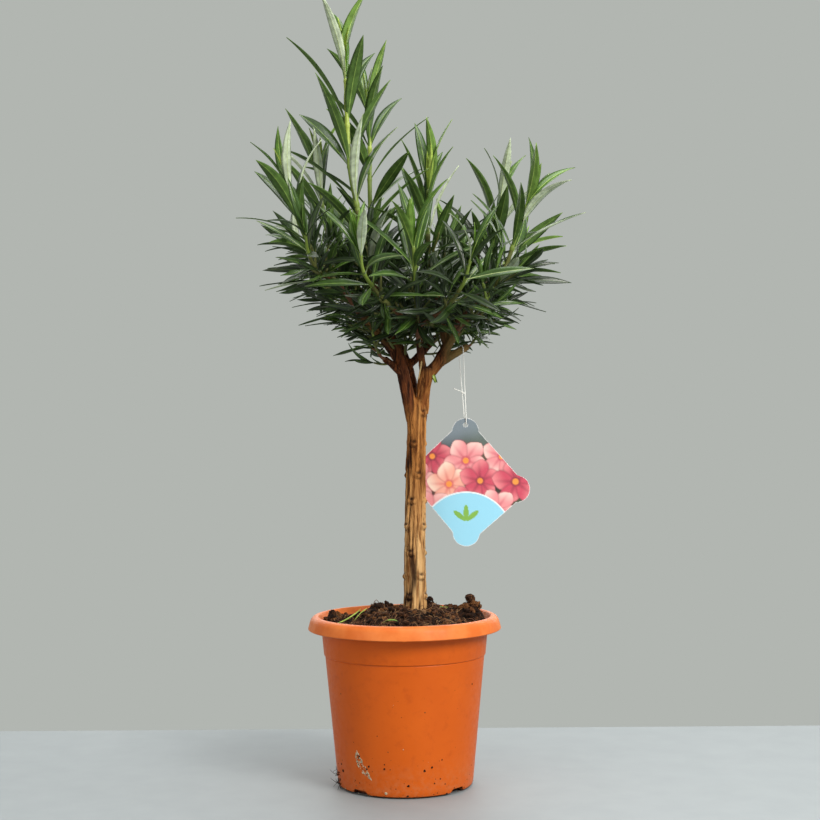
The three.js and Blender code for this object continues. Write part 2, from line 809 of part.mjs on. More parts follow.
// Places one leaf where it is free, or leaves it out.
function placeLeaf(wish, owner, limbs, placed) {
  for (const [turn, open, share] of TRIES) {
    const azimuth = wish.azimuth + turn * DEGREE;
    const opening = wish.opening + open * DEGREE;
    const leaf = leafFrame(wish.place, azimuth, opening, wish.bend, wish.roll, wish.length * share);
    const probe = bladeProbe(leaf);
    const free =
      keepsToOwnSpace(leaf, owner, limbs) &&
      !nearLimb(probe, owner, limbs) &&
      !nearOtherBlade(probe, owner, placed);
    if (free) {
      placed.push({ ...owner, leaf, probe });
      return;
    }
  }
}

// The leaves that a shoot would like to have, from its tip down.
function leafWishes(shoot, line) {
  const random = randomFrom(shoot.seed);
  const spread = (size) => (random() - 0.5) * size;
  const wishes = [];
  let distance = distancesAlong(line).at(-1) - WHORL.topInset;
  for (let i = 0; i < YOUNG.leaves; i++) {
    wishes.push({
      place: placeAlong(line, distance + WHORL.topInset - YOUNG.inset - i * YOUNG.stagger),
      azimuth: (shoot.spin + 90 + i * 180) * DEGREE + spread(WHORL.azimuthJitter),
      opening: YOUNG.opening + spread(LEAF.openingJitter) / 2,
      bend: spread(LEAF.bendJitter) / 2,
      roll: spread(LEAF.roll),
      length: shoot.leaf * YOUNG.lengthShare * (1 + spread(LEAF.lengthJitter)),
    });
  }
  for (let whorl = 0; whorl < shoot.whorls; whorl++) {
    const share = whorl / (shoot.whorls - 1);
    const opening = throughStops(shoot.opening, Math.pow(share, LEAF.openingPower)) * DEGREE;
    const fullLength = shoot.leaf * throughStops(LEAF.lengthByWhorl, share);
    for (let i = 0; i < WHORL.leaves; i++) {
      const turn = shoot.spin + WHORL.turn * whorl + (360 / WHORL.leaves) * i;
      const wish = {
        place: placeAlong(line, distance - i * WHORL.stagger),
        azimuth: turn * DEGREE + spread(WHORL.azimuthJitter),
        opening: opening + spread(LEAF.openingJitter),
        bend: LEAF.bendOut + spread(LEAF.bendJitter),
        roll: spread(LEAF.roll),
        length: fullLength * (1 + spread(LEAF.lengthJitter)),
      };
      if (distance > WHORL.footMargin) wishes.push(wish);
    }
    distance -= throughStops(shoot.gap, share);
  }
  return wishes;
}

function makeFoliage() {
  const linesByMass = MASSES.map(shootLines);
  const limbs = makeLimbList(linesByMass);
  const placed = [];
  MASSES.forEach((mass, i) => {
    mass.shoots.forEach((shoot, stem) => {
      for (const wish of leafWishes(shoot, linesByMass[i][stem])) {
        placeLeaf(wish, { mass: mass.name, stem }, limbs, placed);
      }
    });
  });
  MASSES.forEach((mass, i) => {
    const twigs = linesByMass[i].map((line) => solidOf(loft(ringsAlong(line, TWIG.sides, twigRadius))));
    const blades = placed.filter((each) => each.mass === mass.name).map((each) => bladeSolid(each.leaf));
    const joined = [...twigs, ...blades].reduce((all, piece) => all.add(piece));
    addNode(mass.name, largestBody(joined), 0x3c5a2c, 0.45);
  });
}

// The middle of the tag's hole.
function tagHole() {
  const rise = TAG.halfHigh + TAG.lobeRadius - TAG.holeBelowTop;
  return vector(TAG.centre).add(new THREE.Vector3(0, 0, rise));
}

function makeTag() {
  const side = new THREE.Vector2(Math.cos(TAG.tilt), -Math.sin(TAG.tilt)).multiplyScalar(TAG.halfWide);
  const top = new THREE.Vector2(0, TAG.halfHigh);
  const corners = [top, side.clone().negate(), top.clone().negate(), side];
  const plate = (shape) => {
    const slice = new THREE.ExtrudeGeometry(shape, { depth: TAG.thickness, bevelEnabled: false });
    slice.translate(0, 0, -TAG.thickness / 2).rotateX(Math.PI / 2);
    return solidOf(slice.translate(...TAG.centre));
  };
  const outline = corners.flatMap((corner, i) => {
    const next = corners[(i + 1) % corners.length];
    const edge = next.clone().sub(corner).normalize();
    const out = new THREE.Vector2(edge.y, -edge.x).multiplyScalar(TAG.edgeMargin);
    return [corner.clone().add(out), next.clone().add(out)];
  });
  let tag = plate(new THREE.Shape(outline));
  for (const corner of corners) {
    const lobe = new THREE.Shape().absarc(corner.x, corner.y, TAG.lobeRadius, 0, 2 * Math.PI);
    tag = tag.add(plate(lobe));
  }
  const hole = new THREE.CylinderGeometry(TAG.holeRadius, TAG.holeRadius, 4 * TAG.thickness, 20);
  return tag.subtract(solidOf(hole.translate(...tagHole().toArray())));
}

// The middle of the string's upper and lower bends: over the bough, and in the top of the hole.
function stringEnds() {
  const bough = boughLines.bough_side;
  const place = placeAlong(bough, STRING.along * distancesAlong(bough).at(-1));
  const lift = TAG.holeRadius - TOUCH_GAP - STRING.radius + STRING.halfSpread;
  return [place.point, tagHole().add(new THREE.Vector3(0, 0, lift))];
}

// One closed loop: over the side bough, down as two strands and through the tag's hole.
function makeString() {
  const [high, low] = stringEnds();
  const bough = boughLines.bough_side;
  const across = bough.at(-1).clone().sub(bough[0]).cross(new THREE.Vector3(0, 0, 1)).normalize();
  const { radii } = BOUGHS.find(({ name }) => name === "bough_side");
  const topRadius = throughStops(radii, STRING.along) + STRING.radius + 2 * TOUCH_GAP;
  const knot = low.clone().lerp(high, STRING.knotShare);
  const bend = (centre, radius, firstAngle) =>
    Array.from({ length: STRING.bendSteps + 1 }, (_, i) => {
      const angle = firstAngle + (i / STRING.bendSteps) * Math.PI;
      const rise = new THREE.Vector3(0, 0, radius * Math.sin(angle));
      return centre.clone().addScaledVector(across, radius * Math.cos(angle)).add(rise);
    });
  const strand = (side) => knot.clone().addScaledVector(across, side * STRING.halfSpread);
  const over = bend(high, topRadius, 0);
  const under = bend(low, STRING.halfSpread, Math.PI);
  const line = [...over, strand(-1), ...under, strand(1)];
  const loop = solidOf(loft(ringsAlong(line, STRING.sides, () => STRING.radius, true)));
  const ball = new THREE.IcosahedronGeometry(STRING.knotRadius, 0).translate(...knot.toArray());
  const tailEnd = knot.clone().add(new THREE.Vector3(-STRING.tail, 0, STRING.tail * 0.3));
  const tail = ringsAlong([knot, tailEnd], STRING.sides, () => STRING.radius);
  return loop.add(solidOf(ball)).add(solidOf(loft(tail)));
}

addNode("pot", makePot(), 0xc96a2e, 0.55);
addNode("soil", makeSoil(), 0x2c1d15, 0.95);
addNode("trunk", makeTrunk(), 0x8a6238, 0.85);
makeBoughs();
makeFoliage();
addNode("tag_card", makeTag(), 0xd98a94, 0.4);
addNode("tag_string", makeString(), 0xeeeeea, 0.6);

export default part;
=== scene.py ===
"""A potted oleander standard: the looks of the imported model.

Places and sizes are millimetres in the part's own frame, +Z up, with the origin under the middle of the
pot. They become metres where a mesh is made.
"""

import math

import bmesh
import bpy
import numpy as np
from mathutils import Matrix, Vector
from mathutils.geometry import delaunay_2d_cdt


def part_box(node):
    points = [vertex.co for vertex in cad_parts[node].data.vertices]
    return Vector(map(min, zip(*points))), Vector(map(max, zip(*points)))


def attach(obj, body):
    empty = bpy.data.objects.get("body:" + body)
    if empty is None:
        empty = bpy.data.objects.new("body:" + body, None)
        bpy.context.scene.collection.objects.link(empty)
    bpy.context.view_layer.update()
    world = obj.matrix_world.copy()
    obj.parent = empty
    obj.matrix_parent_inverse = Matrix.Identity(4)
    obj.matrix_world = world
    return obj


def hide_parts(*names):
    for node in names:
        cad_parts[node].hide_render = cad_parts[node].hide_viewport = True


MM = 0.001
DEGREE = math.pi / 180
WORD = 0xFFFFFFFF

# Camera and room
CAMERA = {"place": (6.8, -1500, 358), "rise": 0.35 * DEGREE, "roll": 0.40 * DEGREE, "focal_pixels": 1521}
FRAME_PIXELS = 820
SENSOR = 36
TABLE = {"left": -5000, "right": 5000, "front": -5000, "back": 264}
# Lights: name, place, what each points at, size, power and colour
LIGHTS = [
    ("overhead", (250, -200, 2000), (0, 0, 380), (1300, 1100), 22, (1, 1, 1)),
    ("key", (1050, -1250, 1250), (0, 0, 380), (760, 760), 36, (1, 0.97, 0.92)),
    ("back", (100, 1500, 1050), (0, 0, 560), (2800, 1300), 22, (1, 1, 1)),
    ("fill", (-1300, -1300, 700), (0, 0, 380), (1000, 1000), 6, (1, 0.9, 0.8)),
]

# Pot
POT = {
    "height": 165.5,
    "rim_radius": 95,
    "lip_height": 13.5,
    "lip_top_radius": 91.5,
    "mouth_radius": 84,
    "neck_radius": 81.8,
    "step_height": 127.3,
    "step_radius": 79.5,
    "step_depth": 1.2,
    "foot_radius": 66.6,
    "foot_round": 5,
    "wall": 1.8,
    "floor": 2.4,
    "segments": 192,
    "crisp_from": 38 * DEGREE,
}
LIP_FOOT = POT["height"] - POT["lip_height"]
NOTCH = {"count": 4, "first_angle": -41 * DEGREE, "width": 19, "slope": 2.5, "height": 5.5, "depth": 9}
GATE_NUB = {"angle": 0.6 * DEGREE, "reach": 1.3, "height": 0.9}

# Soil
SOIL = {
    "edge_height": 157.5,
    "crown_height": 171.5,
    "crown_radius": 14,
    "edge_radius": 81.7,
    "skirt_share": 0.955,
    "skirt_drop": 8,
    "rings": 110,
    "segments": 300,
}
# Clods: x, y, height of the top, radius, and the share of brown lumps in each
CLODS = [
    (-26, 14, 174.5, 10, 0.4),
    (-40, -8, 168.5, 9, 0.4),
    (25, 13, 181, 4.6, 0.1),
    (44, 26, 171, 11, 0.5),
    (65, 9, 183.5, 7, 1),
    (70, 8, 177, 7, 1),
    (60, 7, 175.5, 8, 0.9),
    (67, 3, 171, 11, 0.7),
    (-71, 2, 170, 6.5, 0.3),
    (10, 52, 168, 12, 0.5),
    (-30, 56, 167, 9, 0.5),
    (40, -48, 164, 10, 0.5),
    (-14, -46, 165, 11, 0.5),
]
# Loose crumbs and fibres. A pair is the least value and what chance may add to it. The kinds are the shares
# of dark, brown and peaty crumbs, added up, and the rest are pale.
CRUMB = {"count": 2300, "size": (0.5, 2), "tiny_below": 0.9, "kinds": (0.5, 0.86, 0.994), "clod_lumps": 6}
FIBRE = {
    "count": 1000,
    "length": (4, 15),
    "lift": (0.4, 3.2),
    "clearance": 0.4,
    "radius": (0.14, 0.16),
    "brown_share": 0.7,
}
# Green scraps on the soil: x and y of the start, heading in degrees, length, width, rise of the tip
SCRAPS = [
    (-65, -26, 42, 30, 2.6, 5),
    (-48, -16, 30, 13, 1.8, 3),
    (-22, -52, -2, 17, 3.4, 0),
    (31, 8, 8, 12, 2.2, 1),
    (26, 62, 70, 16, 2.4, 0),
]

# Dirt on the pot: angles are in degrees to the right of the front, with heights
DIRT = {
    "scuff": [(-29, 18), (-41, 43)],
    "scuff_flakes": 170,
    "scuff_pale_share": 0.66,
    "scuff_lean": 36 * DEGREE,
    "scuff_stretch": 2.2,
    "scuff_bow": 3,
    "scuff_wide": 6.4,
    "scuff_high": 2.6,
    "specks": [
        (-16.6, 28.9, 1.0), (-16.4, 33, 0.6), (15.3, 26.9, 1.2), (21.5, 29.8, 1.0), (2.3, 13.1, 1.3),
        (58, 104, 0.9), (-62, 20, 1.4), (-64, 26, 1.0), (-30, 30, 1.0), (-32, 27, 0.8), (30, 36, 0.7),
        (24, 14, 0.8), (34, 12, 0.7), (2, 3.4, 0.9),
    ],
    "pale_speck": (-16, 5.5, 1.3),
    "scattered": 420,
    "flatness": 0.3,
    "clump_at": (-76, 9),
    "clump_width": 14,
    "clump_crumbs": 30,
    "rootlets": 16,
    "rootlet_steps": 9,
}

# Trunk and boughs, as centre lines of x, y, z with a radius at each point
FORK_HEIGHT = 372
TRUNK = {
    "path": [(10, 0, 160), (10.4, 0, 182), (11, 0, 239), (12, 0.5, 308), (13.6, 1, 352), (14.5, 1, 378)],
    "radii": [12.6, 10.9, 10.1, 9.9, 10.8, 12.6],
    "bark_radii": [12.6, 10.9, 10.1, 9.6, 9.6, 11],
    "flatness": 0.82,
    "dome_from": 361,
}
BOUGH_STEP = 12
BOUGHS = {
    "bough_left": ([(8, -2, 366), (1, -5, 399), (-6, -7, 424), (-12, -8, 440)], [6.5, 6, 5.4, 4.6]),
    "bough_right": (
        [(21.5, 2, 366), (22.5, 2, 397), (34, 4, 412), (44, 8, 430), (48, 9, 442)],
        [6.4, 6.2, 5.4, 4.9, 4.4],
    ),
    "bough_back": ([(13, 3, 366), (9, 22, 398), (3, 33, 418), (-3, 42, 432)], [4.6, 4.4, 4, 3.7]),
    "bough_left_outer": ([(-6, -7, 424), (-24, -16, 443), (-38, -22, 458)], [4.2, 3.9, 3.6]),
    "bough_left_rear": ([(-3, -6, 414), (-18, 2, 436), (-32, 8, 456)], [4.1, 3.8, 3.6]),
    "bough_low_left": ([(1, -5, 399), (-9, -13, 410), (-18, -19, 417)], [3.6, 3.3, 3.1]),
    "bough_centre": ([(22, 2, 395), (18, -9, 419), (16, -20, 436)], [3.7, 3.5, 3.3]),
    "bough_inner": ([(44, 8, 430), (40, 6, 446), (38, 5, 458)], [3.9, 3.7, 3.5]),
    "bough_side": ([(34, 4, 412), (50, 11, 422), (64, 19, 430)], [4, 3.8, 3.3]),
    "bough_right_front": ([(40, 6, 423), (48, -4, 435), (54, -13, 444)], [3.7, 3.5, 3.3]),
    "bough_back_right": ([(5, 29, 411), (20, 40, 426), (33, 46, 440)], [3.7, 3.5, 3.3]),
}
# Where the three lowest limbs grow out of the trunk's wood: points in place of each path's first, and radii
LIMB_ROOTS = {
    "bough_left": ([(11.5, -1, 330), (10.4, -1.4, 348), (8, -2, 366)], [5.5, 6.4, 6.5]),
    "bough_right": ([(14, 1, 330), (15.4, 1.3, 346), (18.4, 1.5, 366)], [5, 6, 6.2]),
    "bough_back": ([(13, 1, 340), (13, 3, 366)], [4, 4.6]),
}
# The stub of a pruned limb beside the right bough
STUB = ([(17, 1, 364), (19.6, 0, 382), (21.3, -1.5, 397), (23.4, -3, 409)], [5, 6.6, 6.9, 5.3])
# A dry stalk that hangs in the fork, and the small bud under the side bough
STALK = {"path": [(18.8, -9, 416), (17.4, -12.5, 408), (15.3, -13, 397)], "radii": [0.9, 0.75, 0.5]}
BUD = {
    "root": (29.4, 1, 405.5),
    "tip": (33, -1, 393.5),
    "leaves": 3,
    "spread": 6 * DEGREE,
    "crook": 0.8,
    "width_share": 1.8,
}
BARK = {"grain": 0.75, "sides": 24, "bough_step": 2.5, "smoothing": 8}
# Rings of old leaf scars on the trunk: height, and the angle of one of the three scars from the front
SCAR_RINGS = [
    (364, 48),
    (333.5, -22),
    (303, 17),
    (277.5, -24),
    (252.5, -62),
    (226.5, -30),
    (203.5, -86),
    (184, -44),
]

# Foliage. Every value and every step of the rule is that of the solids.
MASSES = {
    "foliage_tall": {
        "bough": "bough_left",
        "shoots": [
            {
                "path": [
                    (-22, -9, 466), (-30, -10, 490), (-36, -12, 520), (-44, -14, 568), (-51, -15, 612),
                    (-54, -18, 691),
                ],
                "whorls": 9, "gap": (43, 20), "leaf": 100, "opening": (12, 72), "spin": 115, "seed": 655,
            },
            {
                "at": 0.12, "path": [(-28, 20, 507), (-32, 28, 579), (-32, 32, 633), (-34, 35, 668)],
                "whorls": 7, "gap": (34, 20), "leaf": 86, "opening": (17, 65), "spin": 105, "seed": 960,
            },
        ],
    },
    "foliage_centre": {
        "bough": "bough_inner",
        "shoots": [
            {
                "path": [(34, 1, 482), (28, -4, 513), (25, -8, 548), (26, -10, 583)],
                "whorls": 8, "gap": (22, 14), "leaf": 81, "opening": (10, 62), "spin": 10, "seed": 512,
            },
            {
                "at": 0.12, "path": [(46, 34, 492), (44, 62, 527)],
                "whorls": 5, "gap": (19, 15), "leaf": 72, "opening": (11, 75), "spin": 10, "seed": 52,
            },
        ],
    },
    "foliage_right": {
        "bough": "bough_right",
        "shoots": [
            {
                "path": [(62, 16, 466), (78, 22, 497), (92, 26, 537), (99, 30, 570)],
                "whorls": 7, "gap": (25, 17), "leaf": 81, "opening": (13, 90), "spin": 30, "seed": 938,
            },
            {
                "at": 0.07, "path": [(75, 4, 473), (95, -12, 493), (110, -20, 532), (121, -22, 566)],
                "whorls": 7, "gap": (21, 15), "leaf": 78, "opening": (18, 64), "spin": 20, "seed": 583,
            },
            {
                "at": 0.3, "path": [(98, 58, 508), (116, 84, 534)],
                "whorls": 4, "gap": (20, 18), "leaf": 75, "opening": (19, 79), "spin": 15, "seed": 246,
            },
        ],
    },
    "foliage_left": {
        "bough": "bough_left_outer",
        "shoots": [
            {
                "path": [(-55, -29, 481), (-84, -38, 517), (-100, -45, 552), (-105, -48, 571)],
                "whorls": 7, "gap": (22, 17), "leaf": 80, "opening": (10, 66), "spin": 70, "seed": 203,
            },
            {
                "at": 0.25, "path": [(-84, -66, 505), (-89, -92, 531)],
                "whorls": 4, "gap": (19, 17), "leaf": 60, "opening": (27, 87), "spin": 110, "seed": 327,
            },
        ],
    },
    "foliage_left_rear": {
        "bough": "bough_left_rear",
        "shoots": [
            {
                "path": [(-52, 8, 491), (-68, 11, 525), (-77, 14, 559), (-83, 18, 600)],
                "whorls": 7, "gap": (27, 18), "leaf": 81, "opening": (12, 62), "spin": 110, "seed": 146,
            },
            {
                "at": 0.1, "path": [(-88, 48, 515), (-108, 78, 544)],
                "whorls": 5, "gap": (20, 17), "leaf": 67, "opening": (10, 77), "spin": 105, "seed": 437,
            },
        ],
    },
    "foliage_front": {
        "bough": "bough_centre",
        "shoots": [
            {
                "path": [(14, -38, 457), (13, -52, 475), (12, -68, 503), (11, -74, 521)],
                "whorls": 6, "gap": (17, 13), "leaf": 77, "opening": (20, 86), "spin": 0, "seed": 745,
            },
            {
                "at": 0.1, "path": [(-14, -58, 468), (-34, -88, 492), (-38, -96, 512)],
                "whorls": 5, "gap": (17, 14), "leaf": 71, "opening": (27, 82), "spin": 40, "seed": 203,
            },
            {
                "at": 0.14, "path": [(44, -62, 466), (60, -88, 490), (64, -96, 506)],
                "whorls": 5, "gap": (17, 14), "leaf": 64, "opening": (23, 89), "spin": 65, "seed": 302,
            },
        ],
    },
    "foliage_right_low": {
        "bough": "bough_right_front",
        "shoots": [
            {
                "path": [(70, -27, 460), (83, -36, 474), (89, -40, 495)],
                "whorls": 5, "gap": (15, 12), "leaf": 58, "opening": (22, 87), "spin": 80, "seed": 918,
            },
            {
                "at": 0.3, "path": [(80, -56, 462), (76, -74, 486)],
                "whorls": 3, "gap": (13, 12), "leaf": 49, "opening": (18, 78), "spin": 30, "seed": 143,
            },
        ],
    },
    "foliage_low_left": {
        "bough": "bough_low_left",
        "shoots": [
            {
                "path": [(-26, -26, 427), (-29, -33, 445)],
                "whorls": 3, "gap": (12, 10), "leaf": 48, "opening": (27, 65), "spin": 65, "seed": 238,
            },
            {
                "at": 0.3, "path": [(-32, -14, 430), (-32, -8, 442)],
                "whorls": 3, "gap": (11, 10), "leaf": 38, "opening": (25, 93), "spin": 115, "seed": 185,
            },
        ],
    },
    "foliage_side": {
        "bough": "bough_side",
        "shoots": [
            {
                "path": [(72, 24, 437), (76, 28, 448)],
                "whorls": 3, "gap": (11, 10), "leaf": 40, "opening": (12, 62), "spin": 15, "seed": 829,
            },
        ],
    },
    "foliage_back_left": {
        "bough": "bough_back",
        "shoots": [
            {
                "path": [(-18, 62, 464), (-34, 82, 502), (-42, 94, 536)],
                "whorls": 6, "gap": (20, 16), "leaf": 76, "opening": (15, 85), "spin": 10, "seed": 847,
            },
            {
                "at": 0.1, "path": [(-36, 68, 452), (-60, 92, 482)],
                "whorls": 4, "gap": (15, 13), "leaf": 48, "opening": (13, 89), "spin": 115, "seed": 938,
            },
            {
                "at": 0.2, "path": [(2, 92, 474), (8, 122, 502)],
                "whorls": 4, "gap": (17, 15), "leaf": 68, "opening": (24, 79), "spin": 75, "seed": 964,
            },
        ],
    },
    "foliage_back_right": {
        "bough": "bough_back_right",
        "shoots": [
            {
                "path": [(48, 60, 466), (62, 84, 506), (64, 98, 531)],
                "whorls": 6, "gap": (19, 15), "leaf": 73, "opening": (15, 80), "spin": 115, "seed": 904,
            },
            {
                "at": 0.15, "path": [(70, 62, 454), (83, 76, 476)],
                "whorls": 4, "gap": (14, 12), "leaf": 48, "opening": (23, 86), "spin": 75, "seed": 201,
            },
        ],
    },
}
TOUCH_GAP = 0.3
TWIG = {"foot_radius": 3.7, "tip_radius": 2.7, "step": 20, "straight_start": 5}
WHORL = {
    "leaves": 3,
    "turn": 60,
    "top_inset": 3,
    "stagger": 1.1,
    "foot_margin": 9,
    "azimuth_jitter": 24 * DEGREE,
}
LEAF = {
    "width_share": 0.17,
    "bend_at": 0.42,
    "root_depth": 1.8,
    "thickness": 1.3,
    "opening_power": 0.9,
    "opening_jitter": 14 * DEGREE,
    "bend_out": 12 * DEGREE,
    "bend_jitter": 14 * DEGREE,
    "droop": 0.16,
    "roll": 40 * DEGREE,
    "length_jitter": 0.14,
    "length_by_whorl": (0.92, 1, 1, 0.94, 0.88, 0.8),
}
YOUNG = {"leaves": 2, "length_share": 0.62, "opening": 7 * DEGREE, "inset": 1.5, "stagger": 1.3}
TRIES = [
    (0, 0, 1),
    (13, 4, 1),
    (-13, -5, 1),
    (26, 8, 0.9),
    (-26, -8, 0.9),
    (8, 16, 0.75),
    (-8, -14, 0.75),
]
CLEARANCE = 2.6
SAMPLE_STEP = 4.2
OWN_SPACE_SLACK = 14
ROOT_SHARE = 0.22

# Finer side twigs, which carry the rule one step further than the solids do. The lowest tip and root are
# heights by distance from the trunk.
SPRIG = {
    "every": 8,
    "bough_every": 5,
    "reach_share": 0.55,
    "reach": 66,
    "lowest_tip": [(30, 434), (40, 406), (66, 406), (120, 446)],
    "lowest_root": [(22, 424), (30, 411)],
    "length_share": 0.3,
    "leaf_share": 0.52,
    "whorls": 2,
    "gap": 9,
    "opening": (22, 60),
    "angle": 48 * DEGREE,
    "radius": (1.3, 0.9),
    "clearance": 1,
    "box_slack": 1,
    "turn": 137.5,
    "tries": 9,
    "mid_share": 0.2,
    "stem_leaf_share": 0.55,
    "first_number": 100,
}

# The fine blade: half its width along its length, and its cross-section
BLADE_OUTLINE = [
    (0, 0.13), (0.05, 0.12), (0.11, 0.24), (0.2, 0.55), (0.3, 0.8), (0.4, 0.95), (0.5, 1), (0.6, 0.96),
    (0.7, 0.84), (0.8, 0.64), (0.88, 0.42), (0.95, 0.2), (1, 0.02),
]
BLADE = {
    "rings": 17,
    "small_rings": 11,
    "width_share": 0.152,
    "width_by_tone": (0.84, 0.94, 0.98, 0.78, 0.86),
    "rib_foot": 0.46,
    "rib_tip": 0.16,
    "rib_rise": 0.3,
    "fold": 0.2,
    "edge": 0.11,
    "belly": 0.34,
    "wave": 0.35,
    "twist": 16 * DEGREE,
    "sway": 0.035,
    "arch": 0.03,
    "lift": 0.6,
}
STEM = {"step": 1.6, "sunk": 6, "swelling": 0.55, "swelling_length": 1.7}
TONES = ["deep", "mid", "fresh", "young", "pale"]
DEEP, MID, FRESH, YOUNGEST, PALE = range(len(TONES))
# Pale leaves: the chance of one, the share of the way down a shoot where they stop, and the leaf length that
# a shoot needs to have any
# Their pale undersides and ribs are partly the leaves' own paler underside and partly painted sheen.
PALE_LEAVES = {"share": 0.2, "down_to": 0.75, "from_length": 58}

# Tag and string
TAG = {
    "centre": (62, 17.5, 295),
    "half_high": 50.5,
    "half_wide": 51,
    "left_share": 0.93,
    "tilt": 8 * DEGREE,
    "lobe_radius": 13.5,
    "edge_margin": 10,
    "thickness": 0.4,
    "hole_radius": 2.2,
    "hole_below_top": 7,
    "grain": 0.8,
    "outline_points": 240,
}
# The plain blossoms of the tag's print: the colours are those of a petal's body, its tip and its folds.
BLOSSOMS = {
    "petals": 5,
    "petal_width": 0.42,
    "rows": 3,
    "columns": 4,
    "spacing": (33, 25),
    "top": 24,
    "radius": (20, 25),
    "colours": [
        [(236, 146, 150), (252, 208, 200), (196, 66, 92)],
        [(246, 172, 152), (255, 228, 208), (212, 88, 88)],
        [(204, 66, 92), (236, 136, 142), (128, 24, 52)],
        [(236, 146, 150), (250, 196, 190), (170, 44, 74)],
    ],
}
# The tag's label: an arc about a centre below the card's lowest corner, given as the radii between which its
# rim and its field fade in, and a sprig of three plain leaves
LABEL = {
    "centre_below": 6,
    "rim": (47.4, 46.8),
    "field": (46, 45.5),
    "sprig_rise": 12,
    "leaf_turns": (-0.9, 0, 0.9),
    "leaf_half": (8, 2.6),
}
STRING = {
    "radius": 0.45,
    "along": 0.8,
    "half_spread": 1.7,
    "knot_share": 0.4,
    "knot_radius": 1.5,
    "tail": 10,
    "tail_rise": 0.45,
    "knot_spread": 1.4,
}


# Numbers and lines


def random_from(seed):
    """A seeded random number in 0..1, by 32-bit integer steps."""
    state = seed & WORD

    def draw():
        nonlocal state
        state = (state + 0x6D2B79F5) & WORD
        t = state
        t = ((t ^ (t >> 15)) * (t | 1)) & WORD
        t ^= (t + (((t ^ (t >> 7)) * (t | 61)) & WORD)) & WORD
        return ((t ^ (t >> 14)) & WORD) / 4294967296

    return draw


def unit(v):
    return v / np.linalg.norm(v, axis=-1, keepdims=True)


def through_stops(stops, share):
    """A value that runs through the given stops, evenly spaced in share 0..1."""
    return np.interp(share, np.linspace(0, 1, len(stops)), stops)


def smooth_step(low, high, value):
    share = np.clip((value - low) / (high - low), 0, 1)
    return share * share * (3 - 2 * share)


def lattice(cell, seed):
    """A fixed random number in 0..1 for each whole-numbered point of a lattice."""
    h = ((cell * (374761393, 668265263, 1440662683)).sum(-1) + seed * 1274126177) & WORD
    h = ((h ^ (h >> 13)) * 1103515245) & WORD
    h = ((h ^ (h >> 15)) * 668265263) & WORD
    return ((h ^ (h >> 16)) & 0xFFFF) / 65535


def noise(points, size, seed=0):
    """Smooth noise from -1 to 1 at points, with features of the given size, which may differ by axis."""
    place = np.asarray(points, float) / size
    cell = np.floor(place).astype(np.int64)
    share = place - cell
    share = share * share * (3 - 2 * share)
    total = np.zeros(place.shape[:-1])
    for corner in np.ndindex(2, 2, 2):
        weight = np.prod(np.where(corner, share, 1 - share), axis=-1)
        total += weight * lattice(cell + corner, seed)
    return 2 * total - 1


def point_through(points, parameter):
    """The point on a smooth curve through the given points, at a parameter from 0 to the last index."""
    i = min(int(parameter), len(points) - 2)
    t = parameter - i
    b, c = points[i], points[i + 1]
    a = points[i - 1] if i > 0 else 2 * b - c
    d = points[i + 2] if i + 2 < len(points) else 2 * c - b
    return (
        a * (-t + 2 * t * t - t**3) / 2
        + b * (2 - 5 * t * t + 3 * t**3) / 2
        + c * (t + 4 * t * t - 3 * t**3) / 2
        + d * (-t * t + t**3) / 2
    )


def distances_along(line):
    steps = np.linalg.norm(np.diff(line, axis=0), axis=1)
    return np.concatenate([[0], np.cumsum(steps)])


def place_along(line, distance):
    """The point and direction at a distance along a line."""
    along = distances_along(line)
    i = 1
    while i < len(line) - 1 and along[i] < distance:
        i += 1
    share = min(max((distance - along[i - 1]) / (along[i] - along[i - 1]), 0), 1)
    step = line[i] - line[i - 1]
    return line[i - 1] + share * step, unit(step)


def even_line(points, step):
    """An evenly spaced line along the smooth curve through the given points."""
    fine_per_span = 16
    points = [np.array(p, float) for p in points]
    spans = (len(points) - 1) * fine_per_span
    fine = np.array([point_through(points, i / fine_per_span) for i in range(spans + 1)])
    length = distances_along(fine)[-1]
    count = max(2, int(length / step + 0.5))
    return np.array([place_along(fine, length * i / count)[0] for i in range(count + 1)])


def frames_along(line, loop=False):
    """Two directions across a line at each of its points, carried along it without turning."""
    count = len(line)
    sideways = np.array([1.0, 0, 0])
    first, second = [], []
    for i in range(count):
        before = (i - 1) % count if loop else max(i - 1, 0)
        after = (i + 1) % count if loop else min(i + 1, count - 1)
        forward = unit(line[after] - line[before])
        sideways = unit(sideways - sideways.dot(forward) * forward)
        first.append(sideways)
        second.append(np.cross(forward, sideways))
    return np.array(first), np.array(second)


# Meshes


